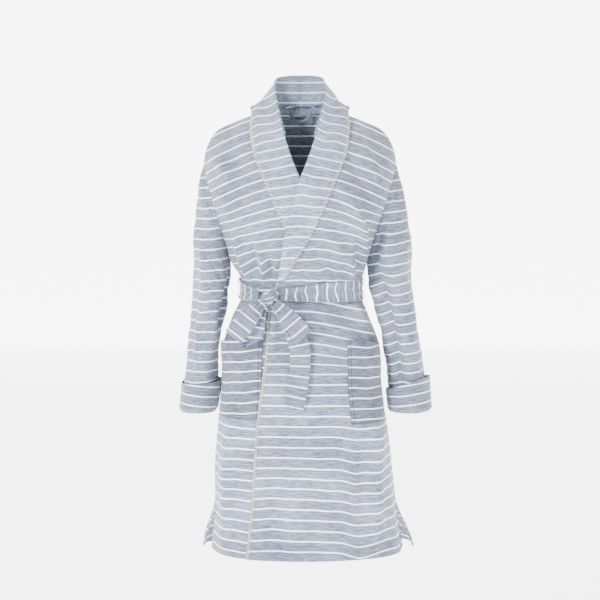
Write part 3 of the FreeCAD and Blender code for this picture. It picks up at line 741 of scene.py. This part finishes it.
def front_pieces(side):
    who, cloth = SIDE_NAME[side], BODY[side]
    hold = with_flap if side > 0 else on_robe

    def nodes(kind, flap):
        return [f"{who}_front_{kind}"] + ([flap] if side > 0 else [])

    panel = full(f"{who}_front_cloth", cloth, BODY_KNIT, painted_backlight(cloth, side))
    settle(panel, "striped_knit", *nodes("panel", "flap_panel"), hold=hold)

    rows, z = rows_between(HEM_Z + 1, -500, 160)
    cols = np.stack([col_from_edge(side, d, z) for d in np.linspace(1, FACING, 18)], -1)
    facing = strip_mesh(f"{who}_facing_cloth", cloth, rows[:, None], cols, INNER_KNIT)
    settle(facing, "inner_knit", *nodes("facing", "flap_facing"), hold=hold)

    rows, z = rows_between(HEM_Z + 1, HEM_Z + HEM_DEPTH, 14)
    cols = np.linspace(0.02, 1, 110)[None] * col_from_edge(side, FACING + 2, z)[:, None]
    hem = strip_mesh(f"{who}_front_hem_cloth", cloth, rows[:, None], cols, INNER_KNIT)
    settle(hem, "inner_knit", *nodes("hem", "flap_hem"), hold=hold)

    across_foot = np.linspace(0.01, 0.995, 200)
    seam = line_on(cloth, row_of(HEM_Z + HEM_DEPTH - 2), across_foot)
    settle(stitches(f"{who}_front_hem_stitching", *seam), "inner_knit", hold=hold)
    for height in HEM_LINES:
        seam = line_on(cloth, row_of(HEM_Z + height), across_foot)
        settle(stitches(f"{who}_front_hem_stitching_{height}", *seam, radius=0.2), "inner_knit", hold=hold)
    rows, z = rows_between(HEM_Z + 2, -490, 260)
    seam = line_on(cloth, rows, col_from_edge(side, FACING, z))
    settle(stitches(f"{who}_facing_stitching", *seam, radius=0.26), "inner_knit", hold=hold)

    rows, _ = rows_between(HEM_Z + 2, EDGE_TOP, 170)
    for colour, mat, shift in OVERCAST:
        edging = threads(f"{who}_front_overcast_{colour}", edge_overcast(cloth, rows, shift), 0.75, mat)
        replaced = nodes("edging", "flap_edging") if colour == "tan" else []
        settle(edging, "contrast_stitching", *replaced, hold=hold)


def back_pieces():
    cloth = BODY[0]
    panel = full("back_cloth", cloth, BODY_KNIT, painted_backlight(cloth, 0))
    settle(panel, "striped_knit", "back_panel")
    rows, _ = rows_between(HEM_Z + 1, HEM_Z + HEM_DEPTH, 14)
    hem = strip_mesh("back_hem_cloth", cloth, rows[:, None], np.linspace(0.01, 0.99, 200), INNER_KNIT)
    settle(hem, "inner_knit", "back_hem")
    seam = line_on(cloth, row_of(HEM_Z + HEM_DEPTH - 2), np.linspace(0.005, 0.995, 300))
    settle(stitches("back_hem_stitching", *seam), "inner_knit")


# ---------------------------------------------------------------- sleeves and cuffs
SLEEVE_FOOT, CUFF_TOP, SLEEVE_RADIUS = -764, -690, 62
# Folds of each sleeve: path as (angle in radians, share down the sleeve), height, width.
SLEEVE_FOLDS = {
    1: [([(2.25, 0.10), (2.05, 0.45), (1.95, 0.86)], -11, 0.30),
        ([(1.5, 0.06), (1.55, 0.4), (1.6, 0.8)], 5, 0.5),
        ([(2.9, 0.16), (2.4, 0.28), (2.1, 0.40)], 4, 0.22), ([(0.6, 0.2), (1.0, 0.5), (0.9, 0.9)], 3, 0.4),
        ([(4.2, 0.1), (4.4, 0.5), (4.2, 0.95)], -7, 0.35), ([(5.2, 0.1), (5.0, 0.5), (5.4, 0.9)], 5, 0.5)],
    -1: [([(2.35, 0.12), (2.15, 0.4), (2.0, 0.8)], 4, 0.3), ([(1.2, 0.05), (1.3, 0.4), (1.2, 0.8)], 4, 0.5),
         ([(2.8, 0.1), (2.5, 0.3), (2.3, 0.5)], -5, 0.22), ([(0.5, 0.3), (0.8, 0.5), (0.6, 0.8)], -3, 0.35),
         ([(4.2, 0.1), (4.5, 0.5), (4.3, 0.95)], -7, 0.35), ([(5.3, 0.15), (5.0, 0.5), (5.2, 0.9)], 5, 0.5)],
}


def round_sleeve(side, z, angles, grow):
    """Points round a sleeve's outline at heights z, grow mm outside it."""
    s = at_height(SLEEVES[side], z)
    x = side * (s[..., 0] + (s[..., 2] + grow) * np.cos(angles))
    return x, s[..., 1] - (s[..., 3] + grow) * np.sin(angles)


def turns_of(count):
    return np.arange(count) * 2 * np.pi / count


def sleeve_grid(side, rows, angles):
    """Points of the sleeve: rows from armhole to lower edge, columns round it from its outer side."""
    start = np.array([armhole(side, (1 + np.cos(q)) / 2, back=np.sin(q) < 0)[0] for q in angles])
    z = start[:, 2] + (SLEEVE_FOOT - start[:, 2]) * np.linspace(0, 1, rows)[:, None]
    goal_x, goal_y = round_sleeve(side, z, angles, 0.0)
    u = np.minimum(1, (start[:, 2] - z) / 230)
    w = u * (2 - u)
    x = start[:, 0] + (goal_x - start[:, 0]) * w
    y = start[:, 1] + (goal_y - start[:, 1]) * w
    return np.stack([x, y, z], -1)


def sleeve_cloth(side):
    rows, angles = 220, turns_of(128)
    P = sleeve_grid(side, rows, angles)
    A, T = np.meshgrid(angles, np.linspace(0, 1, rows))
    N = normals(P, True)
    outward = np.sign((N * (P - P.mean(1, keepdims=True))).sum(-1).mean())
    d = waves(A * 60, T * 600, 120, 170, 11 + side) * 1.6 + waves(A * 60, T * 600, 40, 45, 15 + side) * 0.5
    for path, height, width in SLEEVE_FOLDS[side]:
        for turn in (-2 * np.pi, 0, 2 * np.pi):
            d = d + crease(A + turn, T * 4, [(p, q * 4) for p, q in path], height, width)
    d = d * smooth(T / 0.06) * (1 - 0.55 * smooth((T - 0.84) / 0.14)) * 1.9
    folded = P + N * outward * d[..., None]
    lean = 0.13 if side > 0 else 0.05
    V = folded[..., 2] - lean * folded[..., 0] + 0.4 * d
    return Cloth(folded, A * SLEEVE_RADIUS, V, True, outward)


def cuff_points(side, angles):
    """The turned-back cuff: it rises outside the sleeve, slightly askew, and rolls in at its foot."""
    rows = []
    for s in np.linspace(0, 1, 30):
        roll = smooth(s / 0.12)
        grow = 1.5 + 4.5 * roll + 4.0 * s + (1.2 + 2.2 * s) * np.sin(3 * angles + 1.1 * side) * roll
        tilt = 15 * np.cos(angles) - 6 if side > 0 else 10 * np.cos(angles + 2.2)
        z = SLEEVE_FOOT + (CUFF_TOP - SLEEVE_FOOT) * s + 5 * s * np.sin(angles + 0.6) - 4 * (1 - s) + s * tilt
        x, y = round_sleeve(side, np.clip(z, SLEEVE_FOOT, -600), angles, grow)
        rows.append(np.stack([x, y, z], -1))
    return np.array(rows)


SLEEVE = {s: sleeve_cloth(s) for s in (1, -1)}


def sleeve_pieces(side):
    who, cloth = SIDE_NAME[side], SLEEVE[side]
    body = f"{who}_sleeve_body"
    n, middle = armhole_normal(side), sum(armhole_ends(side)) / 2
    bend = between()
    sleeve = full(f"{who}_sleeve_cloth", cloth, SLEEVE_KNIT)
    settle(sleeve, "striped_knit", f"{who}_sleeve", hold=bend)

    angles = turns_of(128)
    P = cuff_points(side, angles)
    N = normals_towards(P, P - P.mean(1, keepdims=True), closed=True)
    cuff = cloth_mesh(f"{who}_cuff_cloth", P, angles * SLEEVE_RADIUS, P[..., 2] - 0.13 * side * P[..., 0], N,
                      CLOTH * 1.5, CUFF_KNIT, closed=True)

    def on_sleeve(ob):
        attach(ob, body)

    settle(cuff, "striped_knit", f"{who}_cuff", hold=on_sleeve)
    stitched = -4  # the row under the cuff's upper edge
    seam = [np.vstack([A[stitched], A[stitched][:1]]) for A in (P, N)]
    settle(stitches(f"{who}_cuff_stitching", *seam), "striped_knit", hold=on_sleeve)
    # the seam down the sleeve's front
    down = np.linspace(0.02, 0.87, 200)
    seam = line_on(cloth, down, 0.42 - 0.10 * down ** 2)
    seam = stitches(f"{who}_sleeve_seam_stitching", *seam, TAN, radius=0.5, length=3.4, gap=1.6)
    settle(seam, "striped_knit", hold=bend)


# ---------------------------------------------------------------- collar
FORWARD = np.array([0, -1.0, 0])
# One overcast stitch: distance in from the edge, height off the collar, share of the slant.
COLLAR_STITCH = [(8.5, 0.5, 1), (5, 0.8, 0.6), (1.5, 0.7, 0), (-0.8, 0.1, 0), (-0.6, -1.4, 0), (3, -1.9, 0)]


def surface_lift(side, P, gap):
    """Points moved out so that they stand at least gap mm off the fronts and the back."""
    flat = P.reshape(-1, 3).copy()
    for key in (side, 0):
        cloth = BODY[key]
        S, N = cloth.P[::3, ::3].reshape(-1, 3), cloth.N[::3, ::3].reshape(-1, 3)
        keep = S[:, 2] > -450
        S, N = S[keep], N[keep]
        for k in range(0, len(flat), 400):
            part = flat[k:k + 400]
            d2 = ((part[:, None] - S[None]) ** 2).sum(-1)
            j = d2.argmin(1)
            height = ((part - S[j]) * N[j]).sum(-1)
            move = np.where((height < gap) & (d2.min(1) < 900), gap - height, 0)
            flat[k:k + 400] = part + N[j] * move[:, None]
    return flat.reshape(P.shape)


def front_y(side, x, z):
    """Depth of a front's cloth near a place in the front view."""
    S = BODY[side].P[::2, ::2].reshape(-1, 3)
    return S[((S[:, 0] - x) ** 2 + (S[:, 2] - z) ** 2).argmin(), 1]


def collar_line(side, row, off, count=160):
    pts = [(-side * x, front_y(side, -side * x, z) - off if y is None else y, z) for x, y, z in row]
    line = through(pts, np.linspace(0, 1, count))
    line[-1, 0] = side * 0.05
    return line


def collar_fall(side, roll):
    """Make the half of the collar that shows, and return its points and normals."""
    who = SIDE_NAME[side]
    edge = collar_line(side, EDGE, 4.0)
    v = np.linspace(0, 1, 30)
    P = roll[:, None] * (1 - v[None, :, None]) + edge[:, None] * v[None, :, None]
    around = smooth((np.linspace(0, 1, len(roll))[:, None] - 0.35) / 0.25)
    radial = P[..., :2] / np.maximum(np.linalg.norm(P[..., :2], axis=-1, keepdims=True), 1)
    bow = np.sin(np.pi * v)[None]
    P[..., :2] += radial * (10 * around * bow)[..., None]
    P[..., 1] -= 4.5 * (1 - around) * bow
    P = surface_lift(side, P, 3.0)
    for _ in range(5):
        P[1:-1] = P[1:-1] * 0.5 + (P[:-2] + P[2:]) * 0.25
    ripple = waves(P[..., 0], P[..., 2], 55, 90, 21 + side) * 1.2 * np.minimum(1, around + 0.5)
    in_front = slice(None, 60)
    P = P + normals_towards(P, FORWARD, in_front) * ripple[..., None]
    P = surface_lift(side, P, 2.2)
    P[-1, :, 0] = side * 0.05
    N = normals_towards(P, FORWARD, in_front)
    tilt = np.interp(P[..., 2], [-430, -300, -150, 0, 80], [0.03, 0.05, 0.22, 0.42, 0.5])
    V = P[..., 2] + tilt * np.abs(P[..., 0]) + 4.5 * around * np.sin(2 * np.pi * v)[None] + 1.5 * ripple
    shade = np.full(P.shape[:2], 0.98)
    fall = cloth_mesh(f"{who}_collar_cloth", P, v * 85, V, N, CLOTH * 1.6, COLLAR_KNIT, shade)
    settle(fall, "collar_knit", f"{who}_collar")
    return P, N


def collar_overcast(side, P, N):
    """Slanting stitches round the collar's edge."""
    who = SIDE_NAME[side]
    count = int(run_along(P[:, -1])[-1] / 6.5)
    for colour, mat, shift in OVERCAST:
        slant = 3.2 if colour == "tan" else -2.4
        paths = []
        for k in range(count):
            place = (k + shift) / count * (len(P) - 1)
            i = min(int(place), len(P) - 2)
            edge, within = (P[i, c] * (1 - place + i) + P[i + 1, c] * (place - i) for c in (-1, -4))
            along = P[i + 1, -1] - P[i, -1]
            along /= np.linalg.norm(along)
            inward = (within - edge) / np.linalg.norm(within - edge)
            paths.append([edge + inward * inset + N[i, -1] * high + along * slant * lean
                          for inset, high, lean in COLLAR_STITCH])
        replaced = [f"{who}_collar_edging"] if colour == "tan" else []
        settle(threads(f"{who}_collar_overcast_{colour}", paths, 0.85, mat), "contrast_stitching", *replaced)


def collar_stand(side, roll):
    """The layer between the neck seam and the roll, darkened with painted shade."""
    who = SIDE_NAME[side]
    along = np.linspace(0, 1, 60)
    foot = through(np.array(STAND_FOOT) * [-side, 1, 1], along)
    top = through(roll, 0.5 + 0.5 * along)
    inward = np.stack([-foot[:, 0], -foot[:, 1] - 20], -1)
    inward /= np.linalg.norm(inward, axis=1, keepdims=True)
    foot[:, :2] += inward * 3.0
    top[:, :2] += inward * 2.2
    top[:, 2] -= 2
    up = np.linspace(0, 1, 14)[None, :, None]
    P = foot[:, None] * (1 - up) + top[:, None] * up
    P[-1, :, 0] = side * 0.05
    # painted shade: the stand lies inside the neck, where shade falls
    shade = np.full(P.shape[:2], 0.85)
    stand = cloth_mesh(f"{who}_collar_stand_cloth", P, along[:, None] * 220, P[..., 2],
                       normals_towards(P, P * [1, 1, 0]), CLOTH, COLLAR_KNIT, shade)
    settle(stand, "collar_knit", f"{who}_collar_stand")


# ---------------------------------------------------------------- pockets
POCKET_HEM, POCKET_HEIGHT = 25, 205


def pocket_pieces(side):
    who, cloth = SIDE_NAME[side], BODY[side]
    start, stop, low, high = POCKET[side]
    rows, cols = 120, 160
    up, out = np.meshgrid(np.linspace(0, 1, rows), np.linspace(0, 1, cols), indexing="ij")
    z = low + (high - low) * up - 16 * out * up
    deg = side * (start + (stop - start) * out)
    corner = 3.0 if side > 0 else 11.0
    gape = 13 * np.sin(np.pi * out) ** 1.2 * up ** 3 + corner * smooth((out - 0.6) / 0.4) * up ** 3
    sag = waves(out * 150, up * 200, 90, 120, 31 + side) * 1.6
    puff = np.maximum(sag, -0.6) * np.sin(np.pi * out) * np.sin(np.pi * up) ** 0.5
    P = cloth.at(row_of(z), deg_col(side, deg, z), 2.6 + gape + puff)[0]
    N = normals_towards(P, FORWARD)
    U = across(P)
    V = P[..., 2] + (0.05 if side > 0 else -0.13) * P[..., 0] + 0.8 * sag
    folded = 1 - POCKET_HEM / POCKET_HEIGHT
    # painted shade: darker over the turned-down band at the pocket's mouth, where two plies stop the
    # backlight; the dark lines along the sides and foot are partly the seams' own dark and partly painted
    # shadow of the pocket's raised edge
    shade = np.where(up > folded, 0.92, 1.0)
    seams = (np.abs(out - 0.055) < 0.009) | (np.abs(out - 0.008) < 0.009) | (np.abs(out - 0.985) < 0.012)
    shade = np.where(seams | (up < 0.015), 0.55, shade)
    pocket = cloth_mesh(f"{who}_pocket_cloth", P, U, V, N, CLOTH, POCKET_KNIT, shade)
    settle(pocket, "striped_knit", f"{who}_pocket")

    turned = slice(int(rows * folded), rows - 1), slice(2, -2)
    hem = cloth_mesh(f"{who}_pocket_hem_cloth", P[turned] - N[turned] * (CLOTH + 0.25), U[turned], V[turned],
                     N[turned], CLOTH * 0.7, INNER_KNIT)
    settle(hem, "inner_knit", f"{who}_pocket_hem")

    down, right, back_up = np.arange(rows - 2, 1, -1), np.arange(2, cols - 2), np.arange(2, rows - 1)
    r = np.concatenate([down, np.full(cols - 4, 2), back_up])
    c = np.concatenate([np.full(rows - 3, 1), right, np.full(rows - 3, cols - 2)])
    settle(stitches(f"{who}_pocket_stitching", P[r, c], N[r, c]), "striped_knit")
    mouth = turned[0].start
    settle(stitches(f"{who}_pocket_hem_stitching", P[mouth, 1:-1], N[mouth, 1:-1]), "striped_knit")


# ---------------------------------------------------------------- sash
SASH_LIFT, SASH_HALF = 5.6, 25
SASH_START, SASH_END = -18, 324  # degrees round the body, from the knot to the knot
KNOT_RADII, KNOT_TURN, KNOT_FOLDS, KNOT_SQUARENESS = (23, 14, 18), 0.3, 0.075, 2.6


def waist(deg, z, off):
    near = np.where(np.asarray(deg) <= 180, deg, np.asarray(deg) - 360)
    return ring(near, z, float(lap(WAIST_Z + 25)) * smooth((90 - np.abs(near)) / 55) + off)


def waistband():
    D, W = np.meshgrid(np.linspace(SASH_START, SASH_END, 520), np.linspace(-1, 1, 30))
    from_knot = np.minimum(D - SASH_START, SASH_END - D)
    bunch = 1 - 0.42 * smooth(1 - from_knot / 42)
    z = WAIST_Z + 24 * W * bunch - 9 * smooth(1 - from_knot / 50)
    z = z - 3 * smooth((D - SASH_START) / 60) * smooth((120 - D) / 60)
    wander = waves(D, W * 0, 55, 10, 41) * 1.2
    pleats = 1.3 * np.cos(W * 7.5 + 0.02 * D + wander) + 0.7 * np.cos(W * 15 + 0.05 * D)
    by_knot = smooth(1 - from_knot / 45)
    by_lap = smooth((D - 40) / 20) * smooth((100 - D) / 20)
    P = waist(D, z, SASH_LIFT + pleats * (0.35 + 1.4 * by_knot + 0.5 * by_lap))
    N = normals_towards(P, FORWARD, np.s_[:, 60])
    V = run_along(P[15])[None] + waves(D, W * 18, 14, 30, 43) * 2.2
    band = cloth_mesh("sash_waistband_cloth", P, W * SASH_HALF, V, N, 1.4, SASH_KNIT)
    settle(band, "sash_knit", "sash_waistband")
    for name, row in (("upper", -3), ("lower", 2)):
        settle(stitches(f"sash_{name}_edge_stitching", P[row], N[row]), "sash_knit")


def knot():
    """The knot: a squarish lump with gathers running over it."""
    rows, cols, top = 60, 72, np.pi / 2 * 0.985
    A, B = np.meshgrid(np.linspace(0, 2 * np.pi, cols, endpoint=False), np.linspace(-top, top, rows))

    def squarish(v):
        return np.sign(v) * np.abs(v) ** (2 / KNOT_SQUARENESS)

    z = squarish(np.sin(B))
    gathers = np.cos(9 * A + 2.0 * z + waves(A * 10, B * 10, 18, 20, 51)) * np.cos(B) ** 0.5
    girth = squarish(np.cos(B)) * (1 + KNOT_FOLDS * gathers)
    x, y = girth * squarish(np.cos(A)) * KNOT_RADII[0], girth * squarish(np.sin(A)) * KNOT_RADII[1]
    z = z * KNOT_RADII[2] * (1 + 0.05 * np.cos(3 * A))
    c, s = math.cos(KNOT_TURN), math.sin(KNOT_TURN)
    P = np.stack([x * c - z * s * 0.3, y, z + x * s], -1) + KNOT
    idx = np.arange(rows * cols).reshape(rows, cols)
    ahead = np.roll(idx, -1, 1)
    faces = np.stack([idx[:-1], ahead[:-1], ahead[1:], idx[1:]], -1).reshape(-1, 4).tolist()
    faces += [idx[0][::-1].tolist(), idx[-1].tolist()]
    uv = np.stack([P[..., 0], P[..., 2] + 6 * np.cos(3 * A)], -1).reshape(-1, 2) * MM
    lump = build("sash_knot_cloth", P.reshape(-1, 3), faces, SASH_KNIT, uv, np.full(rows * cols, 0.94))
    settle(lump, "sash_knit", "sash_knot")


def ribbon(kind, path, widths, looped=False, seed=0, shift=0.0, end_cut=0.0):
    """A strip of the sash along a path; a looped one comes back under itself as a bow loop."""
    rows, spread, fold = 110, 7.0, 1.2
    t = np.linspace(0, 1, rows)
    centre = through(path, t)
    along = np.gradient(centre, axis=0)
    along /= np.linalg.norm(along, axis=1, keepdims=True)
    face = np.array([0.0, -1.0, 0.12])
    over = np.cross(along, face)
    over /= np.linalg.norm(over, axis=1, keepdims=True)
    out = np.cross(over, along)
    out *= np.sign((out * face).sum(-1))[:, None]
    width = through(np.array(widths)[:, None], t)
    w = np.linspace(-0.5, 0.5, 26)
    gather = smooth(1 - t / 0.45)[:, None]
    pleat = fold * np.cos(w[None] * 17 + 0.7) + 0.6 * fold * np.cos(w[None] * 31 + seed)
    pleat = pleat * (0.25 + 1.9 * gather)
    pleat = pleat + waves(w[None] * 50, t[:, None] * 150, 60, 70, 60 + seed) * 1.4
    cut = end_cut * w[None] * smooth((t[:, None] - 0.8) / 0.2)
    P = centre[:, None] + over[:, None] * (w[None] * width)[..., None] + out[:, None] * pleat[..., None]
    P = P + along[:, None] * cut[..., None]
    run = run_along(centre)
    if looped:
        gap = spread * np.sin(np.pi * t * 0.93) ** 0.6 + 1.2
        under = P - out[:, None] * gap[:, None, None]
        middle, radius = (P[-1] + under[-1]) / 2, gap[-1] / 2
        cap = [middle + out[-1] * radius * math.cos(q) + along[-1] * radius * 1.5 * math.sin(q)
               for q in np.linspace(0, np.pi, 9)[1:-1]]
        P = np.concatenate([P, np.array(cap), under[::-1]])
        run = run_along(P[:, 13])
    N = normals_towards(P, face, slice(None, 40))
    name = f"sash_{kind}_cloth"
    strip = cloth_mesh(name, P, w * 2 * SASH_HALF, run[:, None] + shift, N, 1.3, SASH_KNIT)
    bend = between()
    settle(strip, "sash_knit", f"sash_{kind}", hold=bend)
    for col, tag in ((2, "a"), (-3, "b")):
        seam = stitches(f"{name}_edge_stitching_{tag}", P[4:rows - 4, col], N[4:rows - 4, col])
        settle(seam, "sash_knit", hold=bend)


def knot_wrap():
    """A turn of the sash over the knot."""
    a = np.linspace(0, 2 * np.pi, 90)
    w = np.linspace(-0.5, 0.5, 20)
    round_knot = np.stack([4 * np.sin(a), -15.5 * np.cos(a), 20.5 * np.sin(a)], -1)
    P = (KNOT + round_knot)[:, None] + np.array([1.0, -0.1, 0.28]) * (w[None, :, None] * 21)
    P = P + round_knot[:, None] / 18 * (1.1 * np.cos(w * 22))[None, :, None]
    N = normals_towards(P, round_knot[:, None])
    wrap = cloth_mesh("sash_knot_wrap_cloth", P, w * 40, a[:, None] * 18, N, 1.4, SASH_KNIT)
    settle(wrap, "sash_knit")


# ---------------------------------------------------------------- carriers, hanging loop and neck tape
LOOP_RADIUS, LOOP_WIDTH, LOOP_Y, LOOP_Z = 25.5, 6, 41.9, -14
TAPE_WIDTH = 12


def carrier(side):
    who = SIDE_NAME[side]
    up = np.linspace(-1, 1, 30)
    base = ring(side * 90.0, WAIST_Z + 29 * up)
    x = base[:, 0] + side * (8.5 * (1 - np.abs(up) ** 6) + 1.0)
    P = np.stack(np.broadcast_arrays(x[:, None], np.linspace(-5, 5, 8)[None], base[:, 2][:, None]), -1)
    N = normals_towards(P, [side, 0, 0])
    tape = cloth_mesh(f"{who}_sash_carrier_cloth", P, P[..., 1], P[..., 2], N, 1.0, TAPE_KNIT)
    settle(tape, "self_tape", f"{who}_sash_carrier")


def hanging_loop():
    q = np.linspace(0, np.pi, 60)
    w = np.linspace(-0.5, 0.5, 6) * LOOP_WIDTH
    radial = np.stack([np.cos(q), 0 * q, -np.sin(q)], -1)
    P = np.array([0, LOOP_Y, LOOP_Z]) + radial[:, None] * (LOOP_RADIUS + w[None, :, None])
    N = np.broadcast_to([0.0, -1.0, 0.0], P.shape)
    loop = cloth_mesh("hanging_loop_cloth", P, w, q[:, None] * 25, N, 1.2, TAPE_KNIT)
    settle(loop, "self_tape", "hanging_loop", hold=lambda ob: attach(ob, "hanger"))


def neck_tape():
    s = np.linspace(-1, 1, 90)
    foot = through([(0, 56, -8), (40, 44, -5), (62, 22, -2)], np.abs(s))
    foot[:, 0] *= np.sign(s)
    inward = np.stack([-foot[:, 0], -foot[:, 1] - 30, 0 * s], -1)
    inward /= np.linalg.norm(inward, axis=1, keepdims=True)
    foot += inward * 4.6
    v = np.linspace(0, 1, 8) * TAPE_WIDTH
    P = foot[:, None] + np.array([0, 0, 1.0]) * (v - 16)[None, :, None]
    N = normals_towards(P, inward[:, None])
    tape = cloth_mesh("back_neck_tape_cloth", P, v, s[:, None] * 75, N, 0.8, TAPE_KNIT)
    settle(tape, "self_tape", "back_neck_tape")


# ---------------------------------------------------------------- the robe
back_pieces()
for side in (1, -1):
    front_pieces(side)
    sleeve_pieces(side)
    roll_line = collar_line(side, ROLL, 5.0)
    collar_overcast(side, *collar_fall(side, roll_line))
    collar_stand(side, roll_line)
    pocket_pieces(side)
    carrier(side)
waistband()
knot()
ribbon("long_tail", [(-60, -132, -488), (-30, -150, -530), (-4, -158, -580), (0, -163, -640),
                     (-8, -168, -700), (-16, -171, -738)],
       [26, 38, 50, 50, 50, 50], seed=1, shift=8)
ribbon("left_loop", [(-62, -138, -486), (-38, -160, -508), (-14, -168, -534), (10, -171, -562)],
       [22, 38, 46, 44], looped=True, seed=2, shift=4)
ribbon("short_tail", [(-86, -130, -486), (-98, -141, -515), (-106, -147, -548), (-112, -151, -582)],
       [20, 30, 38, 34], seed=3, end_cut=26, shift=13)
ribbon("right_loop", [(-88, -136, -480), (-114, -154, -506), (-138, -162, -536), (-160, -164, -564)],
       [22, 42, 52, 50], looped=True, seed=4, shift=17)
knot_wrap()
hanging_loop()
neck_tape()


# ---------------------------------------------------------------- stage
def screen(name, size, location, tilt, **look):
    bpy.ops.mesh.primitive_plane_add(size=size, location=location, rotation=(tilt, 0, 0))
    plane = bpy.context.object
    plane.name = name
    plane.data.materials.append(principled(name, Emission_Color=(1, 1, 1, 1), **look)[0])


def aimed(name, data, at, target):
    """An object at one place that looks at another."""
    ob = bpy.data.objects.new(name, data)
    bpy.context.collection.objects.link(ob)
    ob.location = at
    ob.rotation_euler = (Vector(target) - Vector(at)).to_track_quat("-Z", "Y").to_euler()
    return ob


def area(name, at, target, size, power):
    light = bpy.data.lights.new(name, "AREA")
    light.energy, light.size = power, size
    aimed(name, light, at, target)


world = bpy.data.worlds.new("studio")
bpy.context.scene.world = world
world.use_nodes = True
world.node_tree.nodes["Background"].inputs[0].default_value = (1, 1, 1, 1)
world.node_tree.nodes["Background"].inputs[1].default_value = 1.0
screen("floor", 30, (0, 3, -1.62), 0, Base_Color=(0.95, 0.95, 0.95, 1), Roughness=0.9, Emission_Strength=2.6)
screen("backdrop", 40, (0, 10, 0), math.pi / 2, Emission_Strength=5.0)
area("key", (-2.2, -3.2, 1.4), (0, 0, -0.5), 0.8, 360)
area("fill", (2.8, -2.6, 0.2), (0, 0, -0.6), 2.2, 40)
area("rim", (0.6, 3.0, 1.6), (0, 0, -0.4), 2.0, 60)
lens = bpy.data.cameras.new("camera")
lens.lens, lens.sensor_width = 110, 36
bpy.context.scene.camera = aimed("camera", lens, (0, -4.6, -0.15), (0, 0, -0.4875))
